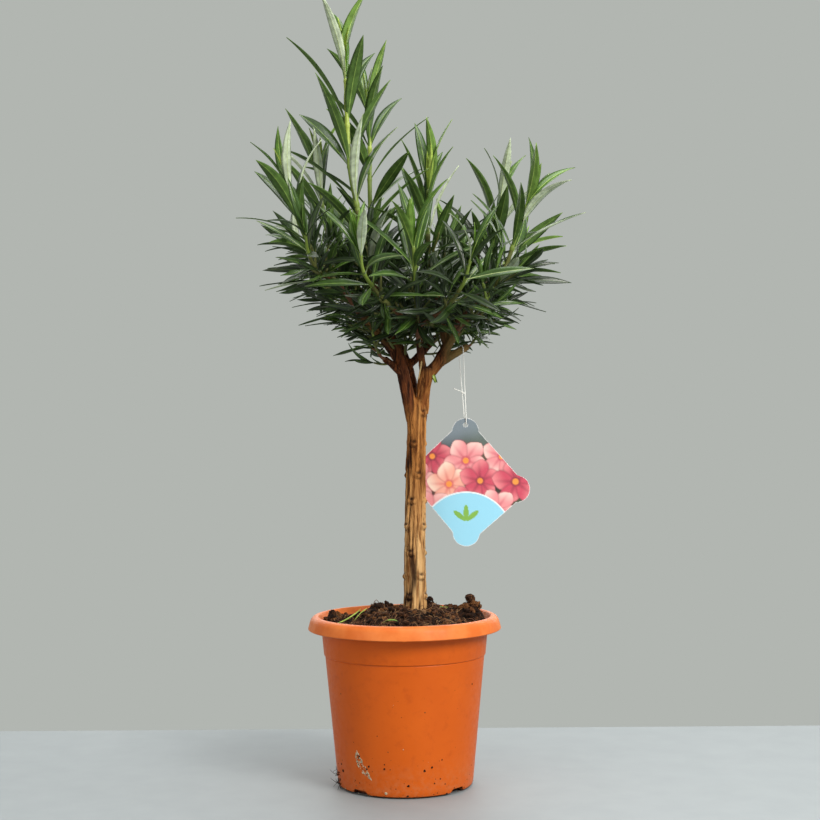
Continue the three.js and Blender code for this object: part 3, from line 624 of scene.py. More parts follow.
def make_object(name, points, triangles, materials, kinds=None, smooth=True, floats=None, colours=None):
    """A mesh object from points in millimetres, with a material index for each triangle."""
    triangles = np.asarray(triangles, np.int32)
    mesh = bpy.data.meshes.new(name)
    mesh.vertices.add(len(points))
    mesh.vertices.foreach_set("co", (np.asarray(points) * MM).astype(np.float32).ravel())
    mesh.loops.add(triangles.size)
    mesh.loops.foreach_set("vertex_index", triangles.ravel())
    mesh.polygons.add(len(triangles))
    mesh.polygons.foreach_set("loop_start", np.arange(0, triangles.size, 3, dtype=np.int32))
    for material in materials:
        mesh.materials.append(material)
    if kinds is not None:
        mesh.polygons.foreach_set("material_index", np.asarray(kinds, np.int32))
    mesh.polygons.foreach_set("use_smooth", np.full(len(triangles), smooth))
    mesh.update(calc_edges=True)
    mesh.validate()
    for attribute, values in (floats or {}).items():
        layer = mesh.attributes.new(attribute, "FLOAT", "POINT")
        layer.data.foreach_set("value", np.asarray(values, np.float32))
    for attribute, values in (colours or {}).items():
        layer = mesh.attributes.new(attribute, "FLOAT_COLOR", "POINT")
        layer.data.foreach_set("color", np.asarray(values, np.float32).ravel())
    piece = bpy.data.objects.new(name, mesh)
    bpy.context.scene.collection.objects.link(piece)
    return piece


def dress(piece, slot, *nodes):
    """Fixes a piece to the plant, in place of the named nodes."""
    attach(piece, "root")
    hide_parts(*nodes)
    return piece


def grid_triangles(rows, columns, closed):
    """Triangles of a grid of points, row after row, whose columns may close into rings."""
    spans = columns if closed else columns - 1
    row, column = np.meshgrid(np.arange(rows - 1), np.arange(spans), indexing="ij")
    a = row * columns + column
    b = row * columns + (column + 1) % columns
    c, d = b + columns, a + columns
    return np.stack([a, b, c, a, c, d], -1).reshape(-1, 3)


def ring_fan(first, columns, flipped):
    """Triangles that close a ring of points with a flat end."""
    j = np.arange(1, columns - 1)
    fan = np.stack([np.full_like(j, first), first + j, first + j + 1], -1)
    return fan[:, ::-1] if flipped else fan


def tube(line, radii, sides, loop=False):
    """Points and triangles of a round tube with flat ends, or of a closed loop."""
    first, second = frames_along(line, loop)
    angle = np.arange(sides) / sides * 2 * math.pi
    across = first[:, None] * np.cos(angle)[:, None] + second[:, None] * np.sin(angle)[:, None]
    points = (line[:, None] + across * np.broadcast_to(radii, len(line))[:, None, None]).reshape(-1, 3)
    if loop:
        triangles = grid_triangles(len(line) + 1, sides, True) % len(points)
    else:
        ends = [ring_fan(0, sides, True), ring_fan(len(points) - sides, sides, False)]
        triangles = np.concatenate([grid_triangles(len(line), sides, True), *ends])
    return points, triangles


def join_shapes(shapes):
    """One shape from several, each given as points, triangles and optionally kinds."""
    counts = np.cumsum([0] + [len(shape[0]) for shape in shapes])
    points = np.concatenate([shape[0] for shape in shapes])
    triangles = np.concatenate([shape[1] + start for shape, start in zip(shapes, counts)])
    if len(shapes[0]) == 2:
        return points, triangles
    return points, triangles, np.concatenate([shape[2] for shape in shapes])


def evaluated_shape(piece):
    """Points, triangles and point normals of an object with its modifiers, in millimetres."""
    mesh = piece.evaluated_get(bpy.context.evaluated_depsgraph_get()).to_mesh()
    mesh.calc_loop_triangles()

    def read(items, key, kind):
        values = np.zeros(len(items) * 3, kind)
        items.foreach_get(key, values)
        return values.reshape(-1, 3)

    points = read(mesh.vertices, "co", np.float32).astype(float) / MM
    normals = read(mesh.vertices, "normal", np.float32).astype(float)
    return points, read(mesh.loop_triangles, "vertices", np.int32), normals


def drop_object(piece):
    mesh = piece.data
    bpy.data.objects.remove(piece)
    bpy.data.meshes.remove(mesh)


# Materials


class Look:
    """A material made node by node. Its patterns lie in the object's own coordinates."""

    def __init__(self, name, colour, roughness, **settings):
        self.material = bpy.data.materials.new(name)
        self.material.use_nodes = True
        self.tree = self.material.node_tree
        self.shader = self.tree.nodes["Principled BSDF"]
        self.shader.inputs["Base Color"].default_value = (*colour, 1)
        self.shader.inputs["Roughness"].default_value = roughness
        for socket, value in settings.items():
            self.shader.inputs[socket.replace("_", " ")].default_value = value
        self.place = self.add("ShaderNodeTexCoord").outputs["Object"]

    def add(self, kind, **properties):
        node = self.tree.nodes.new(kind)
        for key, value in properties.items():
            setattr(node, key, value)
        return node

    def link(self, source, socket):
        if isinstance(source, bpy.types.NodeSocket):
            self.tree.links.new(source, socket)
        else:
            socket.default_value = source

    def stretched(self, stretch):
        mapping = self.add("ShaderNodeMapping")
        self.link(self.place, mapping.inputs["Vector"])
        mapping.inputs["Scale"].default_value = stretch
        return mapping.outputs["Vector"]

    def noise(self, size, detail=3, rough=0.55, stretch=None):
        """Noise from 0 to 1 with features of a size in millimetres."""
        node = self.add("ShaderNodeTexNoise")
        self.link(self.stretched(stretch) if stretch else self.place, node.inputs["Vector"])
        node.inputs["Scale"].default_value = 1 / (size * MM)
        node.inputs["Detail"].default_value = detail
        node.inputs["Roughness"].default_value = rough
        return node.outputs["Fac"]

    def spots(self, size, stretch=None):
        """The distance to scattered points that lie about a size in millimetres apart."""
        node = self.add("ShaderNodeTexVoronoi")
        self.link(self.stretched(stretch) if stretch else self.place, node.inputs["Vector"])
        node.inputs["Scale"].default_value = 1 / (size * MM)
        return node.outputs["Distance"]

    def axis(self, letter):
        node = self.add("ShaderNodeSeparateXYZ")
        self.link(self.place, node.inputs[0])
        return node.outputs[letter]

    def attribute(self, name, output="Fac"):
        return self.add("ShaderNodeAttribute", attribute_name=name).outputs[output]

    def between(self, value, low, high, start=0.0, end=1.0):
        """A value mapped from low..high to start..end, and kept in that range."""
        node = self.add("ShaderNodeMapRange", interpolation_type="SMOOTHSTEP")
        for socket, source in zip(node.inputs, (value, low, high, start, end)):
            self.link(source, socket)
        return node.outputs["Result"]

    def product(self, first, *factors):
        for factor in factors:
            node = self.add("ShaderNodeMath", operation="MULTIPLY")
            self.link(first, node.inputs[0])
            self.link(factor, node.inputs[1])
            first = node.outputs[0]
        return first

    def mix(self, share, first, second):
        node = self.add("ShaderNodeMix", data_type="RGBA")
        self.link(share, node.inputs[0])
        self.link((*first, 1) if isinstance(first, tuple) else first, node.inputs[6])
        self.link((*second, 1) if isinstance(second, tuple) else second, node.inputs[7])
        return node.outputs[2]

    def colour(self, source):
        self.link(source, self.shader.inputs["Base Color"])

    def roughness(self, source):
        self.link(source, self.shader.inputs["Roughness"])

    def bump(self, height, depth):
        """Relief of a depth in millimetres."""
        node = self.add("ShaderNodeBump")
        node.inputs["Distance"].default_value = depth * MM
        self.link(height, node.inputs["Height"])
        self.link(node.outputs["Normal"], self.shader.inputs["Normal"])
        return self


def srgb(red, green, blue):
    """A colour given as 0..255 display values, as the shader's linear values."""

    def linear(value):
        value /= 255
        return value / 12.92 if value <= 0.04045 else ((value + 0.055) / 1.055) ** 2.4

    return (linear(red), linear(green), linear(blue))


def pot_look():
    """Terracotta-coloured plastic, paler on the lip, scuffed, soiled near the foot, painted shade along the
    bottom.
    """
    look = Look("pot_plastic", srgb(196, 84, 20), 0.42, Specular_IOR_Level=0.22)
    height = look.axis("Z")
    lip = look.between(height, (LIP_FOOT - 0.5) * MM, (LIP_FOOT + 1.5) * MM)
    body = look.mix(look.noise(46, 2), srgb(194, 82, 10), srgb(210, 96, 18))
    body = look.mix(look.between(look.noise(9, 4, 0.6), 0.5, 0.78, 0, 0.35), body, srgb(172, 68, 12))
    edge = look.mix(look.between(look.noise(24, 3), 0.35, 0.7), srgb(210, 104, 40), srgb(222, 122, 58))
    colour = look.mix(lip, body, edge)
    dust = look.between(look.noise(6, 6, 0.75), 0.4, 0.7)
    dusty = look.product(look.between(height, 44 * MM, 2 * MM), dust, 0.42)
    colour = look.mix(dusty, colour, srgb(190, 124, 82))
    stain = look.between(look.noise(4, 5, 0.7), 0.56, 0.74)
    stained = look.product(look.between(height, 26 * MM, 2 * MM), stain, 0.6)
    colour = look.mix(stained, colour, srgb(120, 60, 30))
    # Painted shade: a dark band along the bottom edge, where the pot meets the table.
    colour = look.mix(look.between(height, 2.8 * MM, 0.6 * MM), colour, srgb(64, 32, 18))
    specks = look.between(look.spots(11), 0.075, 0.045)
    some = look.between(look.noise(17, 1), 0.5, 0.56)
    specked = look.product(specks, look.between(height, 60 * MM, 12 * MM), some)
    look.colour(look.mix(specked, colour, srgb(70, 34, 20)))
    look.roughness(look.between(look.noise(5, 4), 0.3, 0.7, 0.38, 0.52))
    look.bump(look.noise(0.9, 4), 0.05)
    return look.material


def soil_look(name, dark, pale, size):
    look = Look(name, dark, 0.95, Specular_IOR_Level=0.2)
    colour = look.mix(look.between(look.noise(size, 4, 0.65), 0.38, 0.68), dark, pale)
    colour = look.mix(look.between(look.noise(size * 5, 2), 0.42, 0.66, 0, 0.6), colour, dark)
    look.colour(colour)
    return look.bump(look.noise(0.7, 5, 0.7), 0.5).material


def plain_look(name, colour, roughness, variation=0.12, size=3.0):
    """A material whose colour wanders a little about one value."""
    look = Look(name, colour, roughness)
    darker = tuple(c * (1 - variation) for c in colour)
    lighter = tuple(min(1.0, c * (1 + variation)) for c in colour)
    look.colour(look.mix(look.noise(size, 3), darker, lighter))
    return look.bump(look.noise(0.5, 3), 0.06).material


def bark_look():
    """Fibrous bark: tan on the trunk, reddish brown on the boughs, painted shade in cracks, painted
    highlights.
    """
    look = Look("bark", srgb(150, 106, 62), 0.82, Specular_IOR_Level=0.15)
    long_grain = look.noise(2.6, 4, 0.6, stretch=(1, 1, 0.09))
    patches = look.noise(13, 3, 0.5, stretch=(1, 1, 0.35))
    tan = look.mix(look.between(long_grain, 0.34, 0.64), srgb(88, 46, 17), srgb(168, 110, 54))
    tan = look.mix(look.between(patches, 0.5, 0.68, 0, 0.7), tan, srgb(108, 56, 21))
    low = look.between(look.axis("Z"), 325 * MM, 200 * MM, 0, 0.7)
    pale = look.mix(look.between(long_grain, 0.38, 0.62), srgb(118, 76, 38), srgb(216, 172, 114))
    tan = look.mix(low, tan, pale)
    # Painted highlight: the raised, rubbed strips of bark are painted paler than the rest, partly as real
    # wear.
    shine = look.mix(low, srgb(206, 146, 82), srgb(236, 200, 144))
    tan = look.mix(look.product(look.attribute("worn_and_highlit"), 0.6), tan, shine)
    red = look.mix(look.between(long_grain, 0.4, 0.64), srgb(40, 17, 6), srgb(100, 51, 21))
    red = look.mix(look.between(patches, 0.48, 0.7, 0, 0.6), red, srgb(40, 18, 8))
    red = look.mix(look.product(look.attribute("worn_and_highlit"), 0.5), red, srgb(150, 92, 52))
    colour = look.mix(look.attribute("young"), tan, red)
    # Painted shade: the colour darkens in the cracks, the scars' pits and the grooves under the scars, and on
    # the stub's cut end.
    colour = look.mix(look.attribute("crack_shade_and_cut_end"), colour, srgb(38, 18, 8))
    colour = look.mix(look.attribute("olive"), colour, srgb(134, 112, 66))
    look.colour(colour)
    look.roughness(look.between(long_grain, 0.3, 0.7, 0.9, 0.66))
    return look.bump(look.noise(0.8, 4, 0.65, stretch=(1, 1, 0.12)), 0.5).material


def blade_look(name, colour, roughness, specular):
    """A leaf's skin: faint mottling, with fine relief."""
    look = Look(name, colour, roughness, Specular_IOR_Level=specular)
    darker = tuple(c * 0.78 for c in colour)
    lighter = tuple(min(1.0, c * 1.25) for c in colour)
    look.colour(look.mix(look.between(look.noise(7, 3, 0.6), 0.3, 0.7), darker, lighter))
    return look.bump(look.noise(1.1, 3, 0.6), 0.12).material


def leaf_looks():
    """The blade, rib, underside and under-rib materials of each tone, in the order of TONES."""
    colours = [
        [srgb(27, 42, 15), srgb(68, 88, 42), srgb(50, 68, 36)],
        [srgb(48, 74, 22), srgb(122, 148, 72), srgb(74, 100, 46)],
        [srgb(72, 106, 30), srgb(160, 184, 92), srgb(98, 128, 56)],
        [srgb(138, 160, 56), srgb(190, 204, 106), srgb(152, 176, 78)],
        # The pale tone: a pale underside and rib, partly the leaf's own paler underside and partly painted
        # sheen.
        [srgb(56, 82, 32), srgb(170, 184, 128), srgb(184, 196, 168)],
    ]
    looks = []
    for tone, (upper, rib, under) in zip(TONES, colours):
        looks += [
            blade_look("leaf_" + tone, upper, 0.3, 0.5),
            blade_look("rib_" + tone, rib, 0.4, 0.3),
            blade_look("under_" + tone, under, 0.5, 0.2),
            blade_look("under_rib_" + tone, rib, 0.5, 0.2),
        ]
    return looks


def stem_looks():
    """The stem tones from the woody foot of a shoot to its soft tip."""
    return [
        plain_look("stem_brown", srgb(104, 66, 40), 0.8),
        plain_look("stem_olive", srgb(92, 96, 42), 0.65),
        plain_look("stem_green", srgb(110, 130, 48), 0.5),
        plain_look("stem_young", srgb(158, 176, 72), 0.45),
    ]


def card_look():
    """Coated card whose print is held by the mesh as a colour at each point."""
    look = Look("tag_print", srgb(220, 150, 150), 0.28, Coat_Weight=0.35, Coat_Roughness=0.18)
    paper = look.between(look.noise(0.6, 2), 0.2, 0.8, 0, 0.05)
    look.colour(look.mix(paper, look.attribute("print", "Color"), (1.0, 1.0, 1.0)))
    return look.bump(look.noise(12, 1), 0.05).material


# Pot


def rounded(outline, steps=4):
    """Points of an outline whose corners, given as radius, height and rounding, are turned into curves."""
    points = []
    for i, (radius, height, rounding) in enumerate(outline):
        corner = np.array([radius, height], float)
        if not rounding:
            points.append(corner)
            continue
        before = corner + rounding * unit(np.array(outline[i - 1][:2]) - corner)
        after = corner + rounding * unit(np.array(outline[i + 1][:2]) - corner)
        for t in np.linspace(0, 1, steps + 1):
            points.append((1 - t) ** 2 * before + 2 * t * (1 - t) * corner + t * t * after)
    return np.array(points)


def pot_outline():
    height, wall = POT["height"], POT["wall"]
    below_step = POT["step_radius"] - POT["step_depth"]
    return rounded([
        (2, 0.6, 0),
        (POT["foot_radius"] - 11, 0.6, 0.5),
        (POT["foot_radius"] - 10, 0, 0.5),
        (POT["foot_radius"] - 5.5, 0, 0.3),
        (POT["foot_radius"] - 5, 1.6, 0.3),
        (POT["foot_radius"] - 0.8, 1.6, 0.6),
        (POT["foot_radius"], POT["foot_round"], 1.8),
        (below_step, POT["step_height"] - 1.2, 0.3),
        (below_step - 0.4, POT["step_height"] - 0.2, 0.3),
        (POT["step_radius"], POT["step_height"] + 0.5, 0.3),
        (POT["neck_radius"], LIP_FOOT, 1.2),
        (POT["neck_radius"] + 2, LIP_FOOT + 2, 0.8),
        (POT["rim_radius"] - 3, LIP_FOOT + 2, 1),
        (POT["rim_radius"] - 1.8, LIP_FOOT, 0.7),
        (POT["rim_radius"], LIP_FOOT + 0.8, 0.7),
        (POT["lip_top_radius"] + 0.9, height - 3.2, 2.4),
        (POT["lip_top_radius"] - 2.6, height, 2.4),
        (POT["mouth_radius"] + 1, height, 1.2),
        (POT["mouth_radius"], height - 2.4, 1),
        (POT["neck_radius"] - wall, LIP_FOOT, 1),
        (below_step - wall, POT["step_height"], 1),
        (POT["foot_radius"] - wall, POT["floor"], 1),
        (2, POT["floor"], 0),
    ])


def pot_shape():
    outline = pot_outline()
    angle = np.arange(POT["segments"]) / POT["segments"] * 2 * math.pi
    radius, height = outline[:, :1], outline[:, 1:]
    # The moulded wall is a little out of round, and only inwards.
    out_of_round = 0.22 * (np.cos(2 * angle + 0.7) - 1) * smooth_step(10, 150, height)
    from_gate = angle - (1.5 * math.pi + GATE_NUB["angle"])
    near_gate = np.exp(-((from_gate * POT["rim_radius"] / GATE_NUB["reach"]) ** 2))
    under_lip = np.exp(-(((height - LIP_FOOT) / 1.2) ** 2)) * (radius > POT["rim_radius"] - 3)
    z = height - GATE_NUB["height"] * near_gate * under_lip
    r = radius + out_of_round
    points = np.stack([r * np.cos(angle), r * np.sin(angle), z + 0 * angle], -1).reshape(-1, 3)
    return points, grid_triangles(len(outline), POT["segments"], True)


def notch_cutter(angle):
    """The wedge that cuts one drain notch, at an angle to the right of the front."""
    low, high = NOTCH["width"] / 2 + NOTCH["slope"], NOTCH["width"] / 2 - NOTCH["slope"]
    corners = [(-low, -1), (low, -1), (high, NOTCH["height"]), (-high, NOTCH["height"])]
    near, far = POT["foot_radius"] - NOTCH["depth"], POT["foot_radius"] + 4
    points = [(x, -y, z) for y in (near, far) for x, z in corners]
    turn = Matrix.Rotation(angle, 4, "Z")
    bm = bmesh.new()
    made = [bm.verts.new(turn @ Vector(p) * MM) for p in points]
    for face in [(0, 1, 2, 3), (7, 6, 5, 4), (0, 4, 5, 1), (1, 5, 6, 2), (2, 6, 7, 3), (3, 7, 4, 0)]:
        bm.faces.new([made[i] for i in face])
    bmesh.ops.recalc_face_normals(bm, faces=bm.faces)
    mesh = bpy.data.meshes.new("notch")
    bm.to_mesh(mesh)
    bm.free()
    cutter = bpy.data.objects.new("notch", mesh)
    bpy.context.scene.collection.objects.link(cutter)
    return cutter


def close_pole(piece):
    """Closes the small holes that the turned outline leaves round the axis."""
    bm = bmesh.new()
    bm.from_mesh(piece.data)
    bmesh.ops.holes_fill(bm, edges=[edge for edge in bm.edges if edge.is_boundary], sides=0)
    bmesh.ops.recalc_face_normals(bm, faces=bm.faces)
    bm.to_mesh(piece.data)
    bm.free()


def make_pot():
    rough = make_object("pot_rough", *pot_shape(), [])
    close_pole(rough)
    turns = NOTCH["first_angle"] + np.arange(NOTCH["count"]) * 2 * math.pi / NOTCH["count"]
    cutters = [notch_cutter(float(turn)) for turn in turns]
    for cutter in cutters:
        cut = rough.modifiers.new("notch", "BOOLEAN")
        cut.operation = "DIFFERENCE"
        cut.solver = "MANIFOLD"
        cut.object = cutter
    points, triangles, _ = evaluated_shape(rough)
    for piece in [rough, *cutters]:
        drop_object(piece)
    pot = make_object("pot_shell", points, triangles, [pot_look()])
    pot.data.set_sharp_from_angle(angle=POT["crisp_from"])
    dress(pot, "pot_plastic", "pot")


# Soil


def soil_height(x, y):
    """The height of the soil's surface, with its mound, clods and lumps."""
    flat = np.stack([x, y, np.zeros_like(x)], -1)
    from_trunk = np.hypot(x - TRUNK["path"][0][0], y)
    edge = np.hypot(x, y) / (POT["mouth_radius"] - 3)
    mound = smooth_step(1.02, 0.1, edge) * 0.45 + smooth_step(70, SOIL["crown_radius"], from_trunk) * 0.55
    z = SOIL["edge_height"] + (SOIL["crown_height"] - SOIL["edge_height"]) * mound
    for cx, cy, top, radius, _ in CLODS:
        share = np.clip(1 - (np.hypot(x - cx, y - cy) / (1.5 * radius)) ** 2, 0, 1) ** 1.5
        z = z + share * np.maximum(top - z, 0) * 0.65
    rough = 2.3 * noise(flat, 15, 1) + 1.6 * (1 - 2 * np.abs(noise(flat, 7, 2)))
    rough += 1.15 * (1 - 2 * np.abs(noise(flat, 3.4, 3))) + 0.6 * noise(flat, 1.5, 4)
    return z + rough * (0.35 + 0.65 * smooth_step(1.0, 0.86, edge))


def soil_surface():
    radius = SOIL["edge_radius"] * np.linspace(0, 1, SOIL["rings"]) ** 0.8
    radius[0] = 0.01
    angle = np.arange(SOIL["segments"]) / SOIL["segments"] * 2 * math.pi
    x, y = np.outer(radius, np.cos(angle)), np.outer(radius, np.sin(angle))
    z = soil_height(x, y)
    # Overhangs: points also move sideways a little, so that clods don't read as a height field.
    spots = np.stack([x, y, z], -1)
    inner = smooth_step(POT["mouth_radius"] - 2, POT["mouth_radius"] - 9, np.hypot(x, y))[..., None]
    sideways = np.stack([noise(spots, 4, 11), noise(spots, 4, 12), 0 * x], -1)
    top = spots + 1.3 * inner * sideways
    skirt = top[-1] * (SOIL["skirt_share"], SOIL["skirt_share"], 1)
    skirt[:, 2] = SOIL["edge_height"] - SOIL["skirt_drop"]
    points = np.concatenate([top.reshape(-1, 3), skirt])
    return points, grid_triangles(SOIL["rings"] + 1, SOIL["segments"], True)


def ball_shape(subdivisions):
    """A unit ball of triangles that every crumb starts from."""
    bm = bmesh.new()
    bmesh.ops.create_icosphere(bm, subdivisions=subdivisions, radius=1)
    points = np.array([v.co for v in bm.verts])
    triangles = np.array([[v.index for v in face.verts] for face in bm.faces])
    bm.free()
    return points, triangles


def crumb(ball, centre, size, squash, seed):
    """A rough lump: a ball with coarse and fine unevenness."""
    rough = 1 + 0.5 * noise(ball[0], 0.9, seed) + 0.25 * noise(ball[0], 0.4, seed)
    if size > 1.5:
        rough = rough + 0.8 / size * (1 - 2 * np.abs(noise(ball[0] * size, 1.9, seed)))
        rough = rough + 0.6 / size * noise(ball[0] * size, 0.8, seed)
    return centre + ball[0] * rough[:, None] * size * np.array([1, 0.85, squash]), ball[1]


def soil_crumbs():
    """Loose crumbs on the soil, many small and a few large, and the big clods."""
    draw = random_from(71)
    tiny_ball, ball, fine_ball = ball_shape(1), ball_shape(2), ball_shape(4)
    shapes = []

    def add(shape, centre, size, squash, seed, kind):
        shapes.append((*crumb(shape, np.array(centre), size, squash, seed), np.full(len(shape[1]), kind)))

    for cx, cy, top, radius, brown in CLODS:
        for k in range(CRUMB["clod_lumps"]):
            angle, away = draw() * 2 * math.pi, (0.15 + 0.2 * k) * radius * draw()
            size = radius * (0.3 + 0.3 * draw())
            z = top - size * (0.7 + 0.55 * k * draw())
            pick = draw()
            kind = 0 if pick > brown else 1 if pick > brown / 2 else 2
            place = (cx + away * math.cos(angle), cy + away * math.sin(angle), z)
            add(fine_ball, place, size, 0.9, len(shapes), kind)
    for i in range(CRUMB["count"]):
        away, angle = (POT["mouth_radius"] - 4) * math.sqrt(draw()), draw() * 2 * math.pi
        x, y = away * math.cos(angle), away * math.sin(angle)
        size = CRUMB["size"][0] + CRUMB["size"][1] * draw() ** 4
        z = float(soil_height(np.array(x), np.array(y))) + size * 0.35
        kind = int(np.searchsorted(CRUMB["kinds"], draw(), "right"))
        add(tiny_ball if size < CRUMB["tiny_below"] else ball, (x, y, z), size, 0.75, i, kind)
    return join_shapes(shapes)


def soil_fibres():
    """Thin bent fibres of peat that lie on the soil and stick out of it."""
    draw = random_from(505)
    shapes = []
    steps = 5
    for _ in range(FIBRE["count"]):
        away, angle = (POT["mouth_radius"] - 7) * math.sqrt(draw()), draw() * 2 * math.pi
        heading, bend = draw() * 2 * math.pi, (draw() - 0.5) * 0.5
        length = FIBRE["length"][0] + FIBRE["length"][1] * draw() ** 2
        lift = FIBRE["lift"][0] + FIBRE["lift"][1] * draw() ** 3
        headings = heading + bend * np.arange(steps)
        strides = length / steps * np.stack([np.cos(headings), np.sin(headings)], -1)
        start = away * np.array([math.cos(angle), math.sin(angle)])
        flat = start + np.concatenate([[(0, 0)], np.cumsum(strides, 0)])
        if (np.hypot(*flat.T) > POT["mouth_radius"] - 5).any():
            continue
        arch = np.sin(np.linspace(0.2, math.pi - 0.1, steps + 1))
        z = soil_height(*flat.T) + FIBRE["clearance"] + lift * arch
        thickness = FIBRE["radius"][0] + FIBRE["radius"][1] * draw()
        points, triangles = tube(np.c_[flat, z], thickness * np.array([0.7, 1, 1, 0.9, 0.7, 0.4]), 5)
        shapes.append((points, triangles, np.full(len(triangles), 0 if draw() < FIBRE["brown_share"] else 1)))
    return join_shapes(shapes)


def make_soil():
    looks = [
        soil_look("soil_dark", srgb(18, 10, 6), srgb(56, 32, 17), 4),
        soil_look("soil_brown", srgb(40, 23, 13), srgb(92, 56, 31), 3),
        soil_look("soil_peat", srgb(78, 48, 26), srgb(134, 90, 52), 2),
        soil_look("soil_pale", srgb(176, 160, 132), srgb(206, 194, 170), 2),
    ]
    fibre_looks = [
        plain_look("fibre_brown", srgb(98, 62, 38), 0.9, 0.3),
        plain_look("fibre_pale", srgb(150, 112, 74), 0.9, 0.3),
    ]
    dirt = join_shapes([wall_dirt(), rootlets()])
    pieces = [
        ("soil_bed", (*soil_surface(), None), looks[:1]),
        ("soil_crumbs", soil_crumbs(), looks),
        ("soil_fibres", soil_fibres(), fibre_looks),
        ("pot_dirt", dirt, looks),
    ]
    for name, (points, triangles, kinds), materials in pieces:
        dress(make_object(name, points, triangles, materials, kinds), "potting_soil", "soil")


# Dirt on the pot


def wall_place(angle, height, out=0.0):
    """A point on the pot's wall, at an angle to the right of the front, and the directions there."""
    rise = (height - POT["foot_round"]) / (POT["step_height"] - POT["foot_round"])
    wall_foot, wall_top = POT["foot_radius"], POT["step_radius"] - POT["step_depth"]
    radius = wall_foot + (wall_top - wall_foot) * rise + out
    outward = np.array([math.sin(angle), -math.cos(angle), 0])
    tangent = np.array([math.cos(angle), math.sin(angle), 0])
    return radius * outward + np.array([0, 0, height]), tangent, outward


def wall_flake(ball, angle, height, size, seed, stretch=1.0):
    """A flat flake of dirt that sticks to the wall, which may be stretched along the scuff."""
    centre, tangent, outward = wall_place(angle, height)
    x, y, z = (ball[0] * (1 + 0.5 * noise(ball[0], 0.7, seed)[:, None]) * size).T[..., None]
    upward = np.array([0, 0, 1])
    lean = DIRT["scuff_lean"]
    along = upward * math.cos(lean) - tangent * math.sin(lean)
    across = upward * math.sin(lean) + tangent * math.cos(lean)
    return centre + x * across + y * along * stretch + z * outward * DIRT["flatness"], ball[1]


def wall_dirt():
    """The scuff, the specks and the crumbs near the foot of the wall."""
    draw = random_from(300)
    tiny_ball, ball = ball_shape(1), ball_shape(2)
    shapes = []

    def add(angle, height, size, kind, stretch=1.0):
        shape = tiny_ball if size < 0.45 else ball
        flake = wall_flake(shape, angle * DEGREE, height, size, len(shapes), stretch)
        shapes.append((*flake, np.full(len(shape[1]), kind)))

    (low_angle, low), (high_angle, high) = DIRT["scuff"]
    for _ in range(DIRT["scuff_flakes"]):
        share = draw()
        pale = draw() < DIRT["scuff_pale_share"]
        place = (draw() - 0.5) * 2
        # The pale flakes crowd towards the scuff's outline, and the dark ones lie inside it.
        side = math.copysign(abs(place) ** 0.55, place) if pale else 0.8 * place
        side *= 0.5 * math.sin(math.pi * share) ** 0.7
        bow = DIRT["scuff_bow"] * math.sin(math.pi * share)
        angle = low_angle + (high_angle - low_angle) * share - bow + DIRT["scuff_wide"] * side
        height = low + (high - low) * share + DIRT["scuff_high"] * side + 1.2 * (draw() - 0.5)
        size = 0.24 + 0.4 * draw() ** 2
        add(angle, height, size, 3 if pale else 0, DIRT["scuff_stretch"] if pale else 1.0)
    for angle, height, size in DIRT["specks"]:
        add(angle, height, size, 0)
    add(*DIRT["pale_speck"], 3)
    for _ in range(DIRT["scattered"]):
        angle, height = (draw() - 0.5) * 360, 2 + 100 * draw() ** 3.2
        pick = draw()
        add(angle, height, 0.16 + 0.5 * draw() ** 3, 3 if pick < 0.08 else 0 if pick < 0.4 else 2)
    centre_angle, centre_height = DIRT["clump_at"]
    for _ in range(DIRT["clump_crumbs"]):
        angle = centre_angle + DIRT["clump_width"] * (draw() - 0.5)
        add(angle, centre_height + 16 * (draw() - 0.5), 0.4 + 1.1 * draw() ** 2, 1 if draw() < 0.5 else 0)
    return join_shapes(shapes)


def rootlets():
    """Thin wiry roots that stick out beside the foot of the pot."""
    draw = random_from(44)
    shapes = []
    centre_angle, centre_height = DIRT["clump_at"]
    width, steps = DIRT["clump_width"], DIRT["rootlet_steps"]
    for i in range(DIRT["rootlets"]):
        angle, height = centre_angle + width * (draw() - 0.5), centre_height + width * (draw() - 0.5)
        place, tangent, outward = wall_place(angle * DEGREE, height)
        direction = unit(outward + 0.9 * (draw() - 0.5) * tangent + np.array([0, 0, 0.9 * (draw() - 0.5)]))
        curl = 0.9 * np.array([0.8 * (draw() - 0.5), 0.8 * (draw() - 0.5), 1.3 * (draw() - 0.45)])
        stride = (5 + 9 * draw()) / steps
        line = [place - outward]
        for _ in range(steps):
            line.append(line[-1] + direction * stride)
            direction = unit(direction + curl)
        line = np.array(line)
        line[:, 2] = np.maximum(line[:, 2], 0.6)
        points, triangles = tube(line, np.linspace(0.3, 0.13, len(line)), 5)
        shapes.append((points, triangles, np.full(len(triangles), i % 2)))
    return join_shapes(shapes)


# Trunk and boughs


def bough_line(name):
    return even_line(BOUGHS[name][0], BOUGH_STEP)


def trunk_radius(z):
    heights = [point[2] for point in TRUNK["path"]]
    return np.interp(z, heights, TRUNK["bark_radii"])


def limb_lines():
    """Each limb's fine centre line and radii, the trunk first."""
    trunk = even_line(TRUNK["path"], 3)
    dome = np.clip((trunk[:, 2] - TRUNK["dome_from"]) / (trunk[-1, 2] + 1 - TRUNK["dome_from"]), 0, 1)
    lines = [(trunk, trunk_radius(trunk[:, 2]) * np.sqrt(1 - dome**2))]
    for name, (path, radii) in [*BOUGHS.items(), ("stub", STUB)]:
        if name in LIMB_ROOTS:
            path, radii = [*LIMB_ROOTS[name][0], *path[1:]], [*LIMB_ROOTS[name][1], *radii[1:]]
        places = distances_along(np.array(path, float))
        line = even_line(path, BARK["bough_step"])
        shares = distances_along(line) / distances_along(line)[-1]
        lines.append((line, np.interp(shares, places / places[-1], radii)))
    return lines


